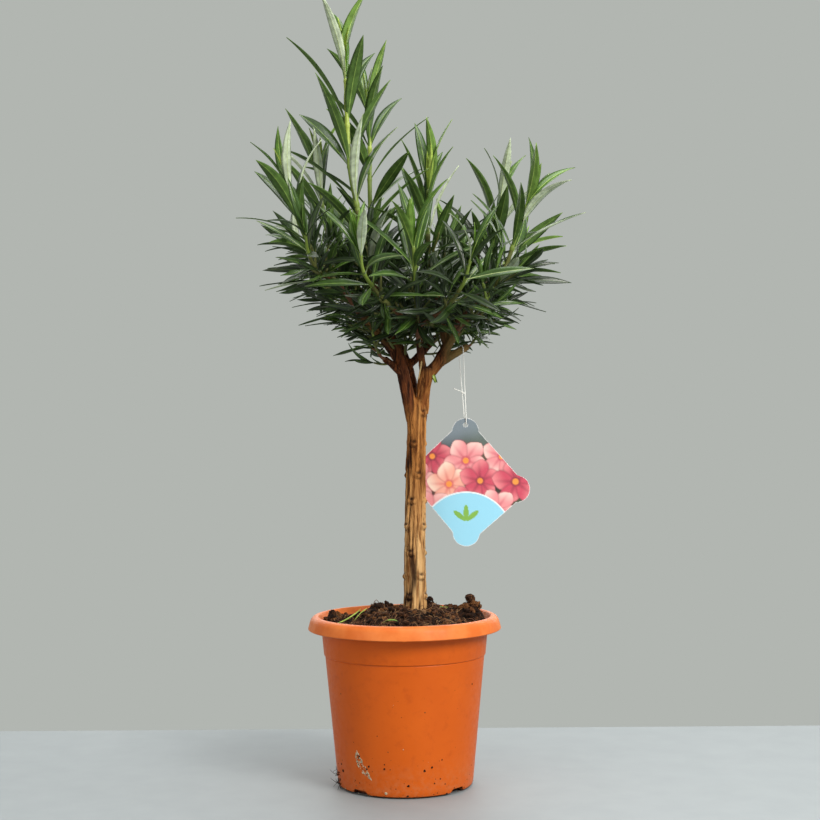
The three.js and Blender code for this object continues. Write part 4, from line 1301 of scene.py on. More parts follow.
def limb_skin(lines):
    """The limbs' tubes, melted into one smooth skin."""
    shapes = []
    for i, (line, radii) in enumerate(lines):
        points, triangles = tube(line, radii, BARK["sides"])
        if i == 0:
            flat_from = TRUNK["path"][3][2]
            share = np.clip((points[:, 2] - flat_from) / (FORK_HEIGHT - flat_from), 0, 1)
            middle = np.repeat(line[:, 1], BARK["sides"])
            points[:, 1] = middle + (points[:, 1] - middle) * (1 - (1 - TRUNK["flatness"]) * share)
        shapes.append((points, triangles))
    rough = make_object("limbs_rough", *join_shapes(shapes), [])
    melt = rough.modifiers.new("melt", "REMESH")
    melt.mode = "VOXEL"
    melt.voxel_size = BARK["grain"] * MM
    calm = rough.modifiers.new("calm", "SMOOTH")
    calm.factor = 0.5
    calm.iterations = BARK["smoothing"]
    skin = evaluated_shape(rough)
    drop_object(rough)
    return skin


def nearest_limb(points, lines):
    """For each point, the limb it lies on and its place there: across, across again, and along."""
    centres = np.concatenate([line for line, _ in lines])
    radii = np.concatenate([radius for _, radius in lines])
    number = np.concatenate([np.full(len(line), i) for i, (line, _) in enumerate(lines)])
    along = np.concatenate([distances_along(line) for line, _ in lines])
    frames = [frames_along(line) for line, _ in lines]
    first = np.concatenate([frame[0] for frame in frames])
    second = np.concatenate([frame[1] for frame in frames])
    best = np.zeros(len(points), int)
    for start in range(0, len(points), 8000):
        chunk = points[start:start + 8000]
        apart = np.linalg.norm(chunk[:, None] - centres[None], axis=-1) - radii
        best[start:start + 8000] = apart.argmin(1)
    offset = points - centres[best]
    forward = np.cross(first[best], second[best])
    ahead = (offset * forward).sum(1)
    place = np.stack([(offset * first[best]).sum(1), (offset * second[best]).sum(1), along[best] + ahead], -1)
    return number[best], place


def scar_relief(points):
    """The height of the raised leaf scars, and how deep each scar's dark pit is, at points of the trunk."""
    centre_x = np.interp(points[:, 2], [p[2] for p in TRUNK["path"]], [p[0] for p in TRUNK["path"]])
    angle = np.arctan2(points[:, 0] - centre_x, -points[:, 1])
    lip, pit = np.zeros(len(points)), np.zeros(len(points))
    for height, front_angle in SCAR_RINGS:
        for k in range(3):
            turn = angle - (front_angle + 120 * k) * DEGREE
            arc = (turn - 2 * math.pi * np.round(turn / (2 * math.pi))) * 10
            drop = points[:, 2] - height - 0.05 * arc * arc
            lip = np.maximum(lip, np.exp(-((drop / 2.5) ** 2) - (arc / 5.4) ** 2))
            pit = np.maximum(pit, np.exp(-(((drop - 2.4) / 1.4) ** 2) - (arc / 3) ** 2))
            # A groove under each raised scar, which the bark's colour also darkens as a painted shadow.
            pit = np.maximum(pit, 0.6 * np.exp(-(((drop + 3.4) / 1.1) ** 2) - (arc / 4) ** 2))
    return lip, pit


def make_limbs():
    lines = limb_lines()
    points, triangles, normals = limb_skin(lines)
    number, place = nearest_limb(points, lines)
    on_trunk = number == 0
    round_limb = unit(place[:, :2])
    shift = 37.0 * number[:, None]

    def grain(turns, length, seed):
        spot = np.concatenate([round_limb * turns, place[:, 2:] / length + shift], 1)
        return noise(spot, 1, seed)

    # The bark turns from tan to reddish brown low on the left limb, and above the knob on the right one.
    turning = 366 + 42 * smooth_step(8.5, 12.5, points[:, 0]) * smooth_step(14, 8, points[:, 1])
    young = smooth_step(-20, 16, points[:, 2] - turning + 9 * noise(points, (5, 5, 16), 9))
    trunk_share = 1 - young
    flutes = grain(1.6, 60, 1) * (0.35 + 0.45 * trunk_share)
    crack = smooth_step(0.26, 0.02, np.abs(grain(2.6, 44, 2))) * smooth_step(-0.3, 0.15, grain(1.5, 52, 3))
    fine_crack = smooth_step(0.16, 0.0, np.abs(grain(6.5, 16, 4))) * smooth_step(0.0, 0.35, grain(2.6, 26, 5))
    fibres = grain(14, 6, 6)
    lip, pit = scar_relief(points)
    lip, pit = lip * on_trunk, pit * on_trunk
    depth = 0.35 + 0.65 * trunk_share
    plates = smooth_step(-0.05, 0.1, grain(2.1, 30, 7))
    strips = grain(4.4, 34, 11)
    # Rubbed strips of bark, raised, and painted paler in the bark's colour as highlights on their ridges.
    worn_and_highlit = smooth_step(0.12, 0.45, strips) * (0.5 + 0.5 * trunk_share)
    crack_depth = depth * (1.3 * crack + 0.6 * fine_crack)
    relief = flutes + 0.2 * fibres + 0.35 * plates - crack_depth + 1.5 * lip - 1.1 * pit
    relief += 0.3 * noise(points, 5, 8) * (0.6 + 0.4 * young) + 0.3 * worn_and_highlit
    stub_top = np.linalg.norm(points - np.array(STUB[0][-1]), axis=1)
    cut_end = smooth_step(9.5, 4, stub_top) * smooth_step(-6, -1, points[:, 2] - STUB[0][-1][2])
    # Painted shade: the cracks, the scars' pits and the grooves under the scars are darkened, more on the
    # trunk; the pruned stub's cut end is darkened too.
    dark = depth * (0.4 + 0.6 * on_trunk)
    crack_shade_and_cut_end = np.clip(0.9 * crack * dark + 0.45 * fine_crack * dark + 0.9 * pit + 0.7 * cut_end, 0, 1)
    olive = 0.55 * smooth_step(424, 446, points[:, 2]) * smooth_step(-0.3, 0.5, noise(points, 8, 10))
    olive = np.maximum(olive, 0.6 * smooth_step(36, 48, points[:, 0]))
    floats = {"crack_shade_and_cut_end": crack_shade_and_cut_end, "young": young, "olive": olive, "worn_and_highlit": worn_and_highlit}
    skin = make_object("limbs", points + normals * relief[:, None], triangles, [bark_look()], floats=floats)
    dress(skin, "bark", "trunk", *BOUGHS)
    make_stalk()


def make_stalk():
    """A thin dry stalk that hangs in the fork."""
    line = even_line(STALK["path"], 1.5)
    points, triangles = tube(line, through_stops(STALK["radii"], np.linspace(0, 1, len(line))), 7)
    look = plain_look("dry_stalk", srgb(176, 146, 96), 0.8)
    dress(make_object("stalk", points, triangles, [look]), "young_bark", "bough_centre")


def make_bud(looks):
    """A small pointed bud of a few leaves under the foot of the side bough."""
    root, tip = np.array(BUD["root"], float), np.array(BUD["tip"], float)
    leaves = []
    for i in range(BUD["leaves"]):
        turn = (i - 1) * BUD["spread"]
        away = Matrix.Rotation(turn, 3, "Y") @ Vector(tip - root)
        end = root + np.array(away)
        middle = root + LEAF["bend_at"] * (end - root) + np.array([0, -BUD["crook"], 0])
        leaf = {"root": root, "middle": middle, "tip": end, "width": np.array([1.0, 0.3 * (i - 1), 0])}
        leaf.update(length=np.linalg.norm(end - root) * BUD["width_share"], tone=3 if i == 1 else 1, seed=i)
        leaves.append(leaf)
    points, triangles, kinds = blade_shapes(leaves, BLADE["small_rings"], 0)
    dress(make_object("bud", points, triangles, looks, kinds), "leaves", "bough_right")


# Foliage: the rule that places twigs and leaves


def shoot_lines(mass):
    """The centre lines of a mass's shoots."""
    bough = bough_line(mass["bough"])
    direction = unit(bough[-1] - bough[-2])
    start = bough[-1] + TOUCH_GAP * direction
    straight = start + TWIG["straight_start"] * direction
    first, *others = mass["shoots"]
    main = np.concatenate([[start], even_line([straight, *first["path"]], TWIG["step"])])
    length = distances_along(main)[-1]
    side = [
        even_line([place_along(main, shoot["at"] * length)[0], *shoot["path"]], TWIG["step"])
        for shoot in others
    ]
    return [main, *side]


class Limbs:
    """Everything that a leaf must stay clear of, as straight stretches with a radius."""

    def __init__(self, lines_by_mass):
        self.rows = []
        trunk = np.array(TRUNK["path"], float)
        self.add(trunk, lambda share: through_stops(TRUNK["radii"], share), "trunk")
        for name, (_, radii) in BOUGHS.items():
            self.add(bough_line(name), lambda share, radii=radii: through_stops(radii, share), name)
        spread = STRING["half_spread"] + STRING["radius"]
        self.add(np.array(string_ends()), lambda share: spread, "string")
        for name, lines in lines_by_mass.items():
            for stem, line in enumerate(lines):
                self.add(line, twig_radius, name, stem)
        self.start = np.array([row[0] for row in self.rows])
        self.span = np.array([row[1] for row in self.rows]) - self.start
        self.radius = np.array([row[2] for row in self.rows])
        self.owner = np.array([row[3] for row in self.rows])
        self.stem = np.array([row[4] for row in self.rows])

    def add(self, line, radius_at, owner, stem=-1):
        for i in range(1, len(line)):
            radius = float(radius_at((i - 0.5) / (len(line) - 1)))
            self.rows.append((line[i - 1], line[i], radius, owner, stem))

    def distances(self, points):
        """The distance from each point to each stretch."""
        offset = points[:, None] - self.start
        share = np.clip((offset * self.span).sum(-1) / (self.span**2).sum(-1), 0, 1)
        return np.linalg.norm(offset - share[..., None] * self.span, axis=-1)


def twig_radius(share):
    return TWIG["foot_radius"] + (TWIG["tip_radius"] - TWIG["foot_radius"]) * share


def leaf_frame(place, azimuth, opening, bend, roll, length):
    """A leaf's root, middle and tip, and its width and upper-side directions."""
    point, along = place
    right = unit(np.array([1.0, 0, 0]) - along[0] * along)
    back = np.cross(along, right)
    outward = right * math.cos(azimuth) + back * math.sin(azimuth)
    rising = along * math.cos(opening) + outward * math.sin(opening)
    rising[2] -= LEAF["droop"] * math.sin(opening)
    rising = unit(rising)
    level = np.cross(along, outward)
    level = unit(level - level.dot(rising) * rising)
    steep = np.cross(rising, level)
    width = level * math.cos(roll) + steep * math.sin(roll)
    falling = rising * math.cos(bend) - steep * math.sin(bend)
    middle = point + rising * length * LEAF["bend_at"]
    tip = middle + falling * length * (1 - LEAF["bend_at"])
    return {
        "root": point,
        "middle": middle,
        "tip": tip,
        "width": width,
        "upper": np.cross(rising, width),
        "length": length,
    }


def blade_probe(leaf):
    """The two triangles of a blade's upper face, and points along its edges and its middle."""
    half_width = leaf["length"] * LEAF["width_share"] / 2
    root = leaf["root"] + LEAF["root_depth"] * unit(leaf["root"] - leaf["middle"])
    lift = leaf["upper"] * LEAF["thickness"] / 2
    right = leaf["middle"] + leaf["width"] * half_width + lift
    left = leaf["middle"] - leaf["width"] * half_width + lift
    count = math.ceil(leaf["length"] / SAMPLE_STEP)
    shares, points = [], []
    for i in range(count + 1):
        share = i / count
        if share < LEAF["bend_at"]:
            local = share / LEAF["bend_at"]
            spans = [(root, right), (root, left), (leaf["root"], leaf["middle"])]
        else:
            local = (share - LEAF["bend_at"]) / (1 - LEAF["bend_at"])
            spans = [(right, leaf["tip"]), (left, leaf["tip"]), (leaf["middle"], leaf["tip"])]
        for low, high in spans:
            shares.append(share)
            points.append(low + (high - low) * local)
    return {
        "faces": np.array([[root, right, left], [right, leaf["tip"], left]]),
        "points": np.array(points),
        "shares": np.array(shares),
        "centre": (leaf["root"] + leaf["tip"]) / 2,
        "reach": leaf["length"] / 2 + 4,
    }


def distance_to_faces(points, faces):
    """The smallest distance from each point to any of the triangles."""
    a, b, c = faces[:, 0], faces[:, 1], faces[:, 2]
    normal = unit(np.cross(b - a, c - a))
    height = np.einsum("ptk,tk->pt", points[:, None] - a, normal)
    foot = points[:, None] - height[..., None] * normal
    inside = np.ones(height.shape, bool)
    edge_distance = np.full(height.shape, np.inf)
    for low, high in ((a, b), (b, c), (c, a)):
        span = high - low
        inside &= np.einsum("tk,ptk->pt", normal, np.cross(span, foot - low)) >= 0
        offset = points[:, None] - low
        share = np.clip(np.einsum("ptk,tk->pt", offset, span) / (span**2).sum(-1), 0, 1)
        edge_distance = np.minimum(edge_distance, np.linalg.norm(offset - share[..., None] * span, axis=-1))
    return np.where(inside, np.abs(height), edge_distance).min(1)


class Crown:
    """The leaves placed so far, and the tests that a further one has to pass."""

    def __init__(self, limbs):
        self.limbs = limbs
        self.leaves = []
        self.centres = np.zeros((0, 3))
        self.reaches = np.zeros(0)
        self.owners = np.zeros((0,), object)

    def near_limb(self, probe, mass, stem, clearance):
        limbs = self.limbs
        room = limbs.radius + clearance
        own_mass = limbs.owner == mass
        checked = ~(own_mass & (limbs.stem == stem))
        apart = limbs.distances(probe["points"])
        close = (apart < room) & checked
        close[:, own_mass] &= (probe["shares"] > ROOT_SHARE)[:, None]
        return bool(close.any())

    def near_blade(self, probe, owner, clearance):
        apart = np.linalg.norm(self.centres - probe["centre"], axis=1)
        near = (apart < self.reaches + probe["reach"]) & (self.owners != owner)
        if not near.any():
            return False
        others = [self.leaves[i]["probe"] for i in np.flatnonzero(near)]
        faces = np.concatenate([other["faces"] for other in others])
        if (distance_to_faces(probe["points"], faces) < clearance).any():
            return True
        points = np.concatenate([other["points"] for other in others])
        close = np.linalg.norm(points - probe["centre"], axis=1) < probe["reach"] + clearance
        return bool(close.any() and (distance_to_faces(points[close], probe["faces"]) < clearance).any())

    def keeps_to_own_space(self, leaf, mass):
        limbs = self.limbs
        apart = limbs.distances(leaf["middle"][None])[0]
        stems = limbs.stem >= 0
        own = apart[stems & (limbs.owner == mass)].min()
        other = apart[stems & (limbs.owner != mass)].min()
        return own < other + OWN_SPACE_SLACK

    def place(self, wish, mass, stem, clearance=CLEARANCE, tries=TRIES, extra_test=None):
        """Places one leaf where it is free, or leaves it out."""
        owner = f"{mass}/{stem}"
        for turn, open_more, share in tries:
            leaf = leaf_frame(
                wish["place"],
                wish["azimuth"] + turn * DEGREE,
                wish["opening"] + open_more * DEGREE,
                wish["bend"],
                wish["roll"],
                wish["length"] * share,
            )
            if extra_test and not extra_test(leaf):
                continue
            probe = blade_probe(leaf)
            free = (
                self.keeps_to_own_space(leaf, mass)
                and not self.near_limb(probe, mass, stem, clearance)
                and not self.near_blade(probe, owner, clearance)
            )
            if free:
                leaf.update(mass=mass, stem=stem, probe=probe, tone=wish["tone"], seed=len(self.leaves))
                self.leaves.append(leaf)
                self.centres = np.vstack([self.centres, probe["centre"]])
                self.reaches = np.append(self.reaches, probe["reach"])
                self.owners = np.append(self.owners, owner)
                return True
        return False


def whorl_distances(shoot, line):
    """How far along a shoot each of its whorls sits, from its tip down."""
    distance = distances_along(line)[-1] - WHORL["top_inset"]
    distances = []
    for whorl in range(shoot["whorls"]):
        distances.append(distance)
        distance -= through_stops(shoot["gap"], whorl / (shoot["whorls"] - 1))
    return distances


def leaf_wishes(shoot, line):
    """The leaves that a shoot would like to have, from its tip down."""
    draw = random_from(shoot["seed"])

    def spread(size):
        return (draw() - 0.5) * size

    wishes = []
    length = distances_along(line)[-1]
    for i in range(YOUNG["leaves"]):
        wishes.append({
            "place": place_along(line, length - YOUNG["inset"] - i * YOUNG["stagger"]),
            "azimuth": (shoot["spin"] + 90 + i * 180) * DEGREE + spread(WHORL["azimuth_jitter"]),
            "opening": YOUNG["opening"] + spread(LEAF["opening_jitter"]) / 2,
            "bend": spread(LEAF["bend_jitter"]) / 2,
            "roll": spread(LEAF["roll"]),
            "length": shoot["leaf"] * YOUNG["length_share"] * (1 + spread(LEAF["length_jitter"])),
            "tone": 3 if shoot["leaf"] > 79 else 2 if shoot["leaf"] > 60 else 1,
        })
    for whorl, distance in enumerate(whorl_distances(shoot, line)):
        share = whorl / (shoot["whorls"] - 1)
        opening = through_stops(shoot["opening"], share ** LEAF["opening_power"]) * DEGREE
        full_length = shoot["leaf"] * through_stops(LEAF["length_by_whorl"], share)
        for i in range(WHORL["leaves"]):
            turn = shoot["spin"] + WHORL["turn"] * whorl + 360 / WHORL["leaves"] * i
            wish = {
                "place": place_along(line, distance - i * WHORL["stagger"]),
                "azimuth": turn * DEGREE + spread(WHORL["azimuth_jitter"]),
                "opening": opening + spread(LEAF["opening_jitter"]),
                "bend": LEAF["bend_out"] + spread(LEAF["bend_jitter"]),
                "roll": spread(LEAF["roll"]),
                "length": full_length * (1 + spread(LEAF["length_jitter"])),
                "tone": leaf_tone(shoot, whorl, share, i),
            }
            if distance > WHORL["foot_margin"]:
                wishes.append(wish)
    return wishes


def leaf_tone(shoot, whorl, share, i):
    """The tone of a leaf: fresh at the top of a strong shoot, deep towards its foot."""
    chance = random_from(shoot["seed"] * 31 + whorl * 3 + i)()
    may_be_pale = share < PALE_LEAVES["down_to"] and shoot["leaf"] > PALE_LEAVES["from_length"]
    # Some leaves take the pale tone, whose pale underside is partly painted sheen.
    if may_be_pale and chance < PALE_LEAVES["share"]:
        return PALE
    if whorl == 0 and shoot["leaf"] > 70:
        return FRESH if i != 1 else MID
    if share < 0.55 and shoot["leaf"] > 70:
        return MID
    return MID if (whorl + i) % 4 == 0 else DEEP


def grow_sprigs(mass_name, mass, lines, crown):
    """Short side twigs with small leaves, from the lower part of each shoot and from its bough."""
    low, high = (np.array(corner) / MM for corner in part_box(mass_name))
    low, high = low - SPRIG["box_slack"], high + SPRIG["box_slack"]
    twigs = []

    def above(point, heights):
        from_trunk = math.hypot(point[0] - TRUNK["path"][-1][0], point[1])
        return point[2] > np.interp(from_trunk, *zip(*heights))

    def stays_inside(leaf):
        tip = leaf["tip"]
        return bool((tip > low).all() and (tip < high).all() and above(tip, SPRIG["lowest_tip"]))

    bough = bough_line(mass["bough"])
    supports = [(shoot, line, stem) for stem, (shoot, line) in enumerate(zip(mass["shoots"], lines))]
    supports.append(({**mass["shoots"][0], "seed": mass["shoots"][0]["seed"] + 7}, bough, 0))
    for shoot, line, stem in supports:
        draw = random_from(shoot["seed"] + 31)
        length = distances_along(line)[-1]
        reach = length if line is bough else min(length * SPRIG["reach_share"], SPRIG["reach"])
        distance = 6 + 4 * draw() if line is not bough else length * 0.4
        every = SPRIG["bough_every"] if line is bough else SPRIG["every"]
        turn = shoot["spin"] * DEGREE
        while distance < reach:
            size = shoot["leaf"] * (0.75 + 0.5 * draw())
            place = place_along(line, distance)
            if not above(place[0], SPRIG["lowest_root"]):
                distance += every
                continue
            for attempt in range(SPRIG["tries"]):
                turn += SPRIG["turn"] * DEGREE
                twig = sprig_line(place, turn, size * SPRIG["length_share"])
                if not sprig_is_free(twig, crown):
                    continue
                number = SPRIG["first_number"] + len(twigs)
                grown = [
                    crown.place(wish, mass_name, number, SPRIG["clearance"], TRIES, stays_inside)
                    for wish in sprig_leaves(twig, size, draw)
                ]
                if any(grown):
                    twigs.append(twig)
                    break
            for wish in stem_leaves(place, size, draw):
                crown.place(wish, mass_name, stem, SPRIG["clearance"], TRIES, stays_inside)
            distance += every * (0.8 + 0.5 * draw())
    return twigs


def stem_leaves(place, size, draw):
    """Small leaves that stand on a shoot itself, beside the foot of a short twig."""
    spin = draw() * 360
    return [
        {
            "place": place,
            "azimuth": (spin + 120 * i) * DEGREE,
            "opening": (SPRIG["opening"][1] + 20 * (draw() - 0.5)) * DEGREE,
            "bend": LEAF["bend_out"],
            "roll": (draw() - 0.5) * LEAF["roll"],
            "length": size * SPRIG["stem_leaf_share"] * (0.8 + 0.4 * draw()),
            "tone": 1 if draw() < SPRIG["mid_share"] else 0,
        }
        for i in range(WHORL["leaves"])
    ]


def sprig_line(place, turn, length):
    """A short twig that leaves its shoot at an angle and then bends upwards."""
    point, along = place
    right = unit(np.array([1.0, 0, 0]) - along[0] * along)
    outward = right * math.cos(turn) + np.cross(along, right) * math.sin(turn)
    direction = along * math.cos(SPRIG["angle"]) + outward * math.sin(SPRIG["angle"])
    line = [point]
    for _ in range(4):
        line.append(line[-1] + direction * length / 4)
        direction = unit(direction + np.array([0, 0, 0.14]))
    return np.array(line)


def sprig_is_free(twig, crown):
    limbs = crown.limbs
    apart = limbs.distances(twig[2:]) - limbs.radius
    if (apart < 2).any():
        return False
    near = np.linalg.norm(crown.centres - twig[2], axis=1) < crown.reaches + 20
    if not near.any():
        return True
    faces = np.concatenate([crown.leaves[i]["probe"]["faces"] for i in np.flatnonzero(near)])
    return bool((distance_to_faces(twig[2:], faces) > SPRIG["clearance"]).all())


def sprig_leaves(twig, size, draw):
    """The leaves of a short twig, from its tip down."""
    wishes = []
    distance = distances_along(twig)[-1]
    spin = draw() * 360
    for whorl in range(SPRIG["whorls"] + 1):
        for i in range(WHORL["leaves"]):
            opening = through_stops(SPRIG["opening"], whorl / SPRIG["whorls"])
            length = size * SPRIG["leaf_share"] * (1.05 - 0.13 * whorl) * (0.85 + 0.3 * draw())
            wishes.append({
                "place": place_along(twig, max(distance - i * 0.6, 1)),
                "azimuth": (spin + 60 * whorl + 120 * i) * DEGREE + (draw() - 0.5) * 0.4,
                "opening": (opening + 20 * (draw() - 0.5)) * DEGREE,
                "bend": LEAF["bend_out"] + (draw() - 0.5) * 0.3,
                "roll": (draw() - 0.5) * LEAF["roll"],
                "length": length,
                "tone": 1 if draw() < SPRIG["mid_share"] else 0,
            })
        distance -= SPRIG["gap"]
    return wishes


def grow_crown():
    """All leaves, the shoots' lines and the sprigs' lines, by mass."""
    lines_by_mass = {name: shoot_lines(mass) for name, mass in MASSES.items()}
    crown = Crown(Limbs(lines_by_mass))
    for name, mass in MASSES.items():
        for stem, (shoot, line) in enumerate(zip(mass["shoots"], lines_by_mass[name])):
            for wish in leaf_wishes(shoot, line):
                crown.place(wish, name, stem)
    sprigs = {name: grow_sprigs(name, mass, lines_by_mass[name], crown) for name, mass in MASSES.items()}
    return crown.leaves, lines_by_mass, sprigs


# Foliage: the fine shapes


def blade_shapes(leaves, rings, lift=BLADE["lift"]):
    """Points, triangles and kinds of many blades at once, each a closed and gently curved solid."""
    count = len(leaves)
    stack = {key: np.array([leaf[key] for leaf in leaves]) for key in ("root", "middle", "tip", "width")}
    length = np.array([leaf["length"] for leaf in leaves])
    tone = np.array([leaf["tone"] for leaf in leaves])
    seeds = [977 + 13 * leaf["seed"] for leaf in leaves]
    chance = np.array([[random_from(seed + k)() - 0.5 for k in range(5)] for seed in seeds])
    t = np.linspace(0, 1, rings)
    # A hanging tip is lifted part of the way, as living leaves hold themselves stiffly.
    hang = np.clip(stack["middle"][:, 2] - stack["tip"][:, 2], 0, None)
    stack["tip"][:, 2] += lift * hang
    root = stack["root"] - 1.2 * unit(stack["middle"] - stack["root"])
    b = LEAF["bend_at"]
    control = (stack["middle"] - (1 - b) ** 2 * root - b * b * stack["tip"]) / (2 * b * (1 - b))
    spans = [((1 - t) ** 2)[None, :, None], (2 * t * (1 - t))[None, :, None], (t * t)[None, :, None]]
    centre = spans[0] * root[:, None] + spans[1] * control[:, None] + spans[2] * stack["tip"][:, None]
    forward = unit(np.gradient(centre, axis=1))
    wide_axis = stack["width"][:, None]
    width = unit(wide_axis - (wide_axis * forward).sum(-1, keepdims=True) * forward)
    up = np.cross(forward, width)
    twist = (BLADE["twist"] * 2 * chance[:, :1] * t)[..., None]
    width, up = width * np.cos(twist) + up * np.sin(twist), up * np.cos(twist) - width * np.sin(twist)
    bulge = np.sin(math.pi * t)
    sway = BLADE["sway"] * 2 * (chance[:, 1] * length)[:, None] * bulge
    arch = BLADE["arch"] * (1 + 2 * chance[:, 2])[:, None] * length[:, None] * bulge
    centre = centre + width * sway[..., None] + up * arch[..., None]
    outline = np.array(BLADE_OUTLINE)
    share = np.interp(t, outline[:, 0], outline[:, 1])
    scale = (1 + 0.22 * chance[:, 3]) * np.array(BLADE["width_by_tone"])[tone]
    half = (length * BLADE["width_share"] / 2 * scale)[:, None] * share
    rib = np.interp(t, (0, 1), (BLADE["rib_foot"], BLADE["rib_tip"])) * (length / 80)[:, None]
    rib = np.minimum(rib, half * 0.8)
    fold = BLADE["fold"] * (1 + 1.2 * chance[:, 4])[:, None]
    wave = BLADE["wave"] * np.sin(9 * t + 20 * chance[:, 1:2]) * bulge
    rise = BLADE["rib_rise"] * (1 - 0.7 * t) * (length / 80)[:, None]
    edge, belly = BLADE["edge"], BLADE["belly"]
    inner = rib + (half - rib) * 0.52
    across = [-half, -inner, -rib, 0 * half, rib, inner, half, inner, rib, 0 * half, -rib, -inner]
    slope = [fold * half + wave, fold * inner * 0.92, fold * rib, fold * rib - 0.1, fold * rib,
             fold * inner * 0.92, fold * half - wave]
    height = [value + edge for value in slope]
    height += [slope[5] - edge, slope[4] - belly * 0.8, slope[3] - belly - rise, slope[2] - belly * 0.8,
               slope[1] - edge]
    across, height = np.stack(across, -1), np.stack(height, -1)
    points = centre[:, :, None] + width[:, :, None] * across[..., None] + up[:, :, None] * height[..., None]
    columns = 12
    one = grid_triangles(rings, columns, True)
    kind_by_column = np.array([0, 0, 1, 1, 0, 0, 2, 2, 3, 3, 2, 2])
    kinds_one = np.repeat(np.tile(kind_by_column, rings - 1), 2)
    ends = [ring_fan(0, columns, True), ring_fan((rings - 1) * columns, columns, False)]
    one = np.concatenate([one, *ends])
    kinds_one = np.concatenate([kinds_one, np.full(2 * (columns - 2), 1)])
    starts = np.arange(count) * rings * columns
    triangles = (one[None] + starts[:, None, None]).reshape(-1, 3)
    kinds = (kinds_one[None] + 4 * tone[:, None]).reshape(-1)
    return points.reshape(-1, 3), triangles[:, ::-1], kinds


def stem_shape(line, radii, first_tone, last_tone, swellings=(), sunk=0):
    """A shoot's tube, with a swelling at every whorl and tones that change along it."""
    if sunk:
        line = np.concatenate([[line[0] - sunk * unit(line[1] - line[0])], line])
    fine = even_line(line, STEM["step"])
    share = np.linspace(0, 1, len(fine))
    radius = through_stops(radii, share)
    along = distances_along(fine) - sunk
    for distance in swellings:
        radius = radius + STEM["swelling"] * np.exp(-(((along - distance) / STEM["swelling_length"]) ** 2))
    points, triangles = tube(fine, radius, 9)
    points = points + 0.12 * np.stack([noise(points, 3, 21 + k) for k in range(3)], -1)
    ring = np.minimum(np.arange(len(triangles)) // 18, len(fine) - 2) / (len(fine) - 1)
    kinds = np.clip(np.floor(first_tone + (last_tone + 0.999 - first_tone) * ring), 0, 3)
    return points, triangles, kinds.astype(int)


def stem_shapes(mass, lines, sprigs):
    bough_radius = BOUGHS[mass["bough"]][1][-1]
    shapes = []
    for stem, (shoot, line) in enumerate(zip(mass["shoots"], lines)):
        size = shoot["leaf"] / 80
        foot = bough_radius if stem == 0 else 2.4 * size
        radii = [foot, min(foot, 2.6 * size), 2.3 * size, 2.15 * size, 2.0 * size, 1.3 * size]
        last = 3 if shoot["leaf"] > 84 else 2
        sunk = STEM["sunk"] if stem == 0 else 0
        shapes.append(stem_shape(line, radii, 0, last, whorl_distances(shoot, line), sunk))
    for line in sprigs:
        shapes.append(stem_shape(line, SPRIG["radius"], 1, 1))
    return join_shapes(shapes)


def make_foliage():
    leaves, lines_by_mass, sprigs = grow_crown()
    leaf_materials, stem_materials = leaf_looks(), stem_looks()
    for name, mass in MASSES.items():
        own = [leaf for leaf in leaves if leaf["mass"] == name]
        large = [leaf for leaf in own if leaf["length"] > 45]
        small = [leaf for leaf in own if leaf["length"] <= 45]
        shapes = [blade_shapes(large, BLADE["rings"])] if large else []
        if small:
            shapes.append(blade_shapes(small, BLADE["small_rings"]))
        points, triangles, kinds = join_shapes(shapes)
        short = name.replace("foliage_", "")
        blades = make_object("leaves_" + short, points, triangles, leaf_materials, kinds)
        dress(blades, "leaves", name)
        points, triangles, kinds = stem_shapes(mass, lines_by_mass[name], sprigs[name])
        stems = make_object("twigs_" + short, points, triangles, stem_materials, kinds)
        dress(stems, "leaves", name)
    make_scraps(leaf_materials)
    make_bud(leaf_materials)


def make_scraps(looks):
    """A few green scraps of leaf that lie on the soil."""
    leaves = []
    for i, (x, y, heading, length, width, rise) in enumerate(SCRAPS):
        direction = np.array([math.cos(heading * DEGREE), math.sin(heading * DEGREE), 0])
        spots = [np.array([x, y, 0.0]) + direction * length * share for share in (0, LEAF["bend_at"], 1)]
        for share, spot in zip((0, LEAF["bend_at"], 1), spots):
            spot[2] = float(soil_height(spot[0], spot[1])) + 1.6 + rise * share
        side = np.cross([0, 0, 1], direction)
        leaf = {"root": spots[0], "middle": spots[1] + np.array([0, 0, 1.5]), "tip": spots[2], "width": -side}
        leaf.update(length=length * width / (length * BLADE["width_share"]), tone=3 if i < 2 else 2, seed=i)
        leaves.append(leaf)
    points, triangles, kinds = blade_shapes(leaves, BLADE["small_rings"], 0)
    dress(make_object("green_scraps", points, triangles, looks, kinds), "leaves", "soil")


# Tag and string


def tag_hole():
    rise = TAG["half_high"] + TAG["lobe_radius"] - TAG["hole_below_top"]
    return np.array(TAG["centre"]) + np.array([0, 0, rise])


def tag_corners():
    side = TAG["half_wide"] * np.array([math.cos(TAG["tilt"]), -math.sin(TAG["tilt"])])
    top = np.array([0, TAG["half_high"]])
    return np.array([top, -side * TAG["left_share"], -top, side])


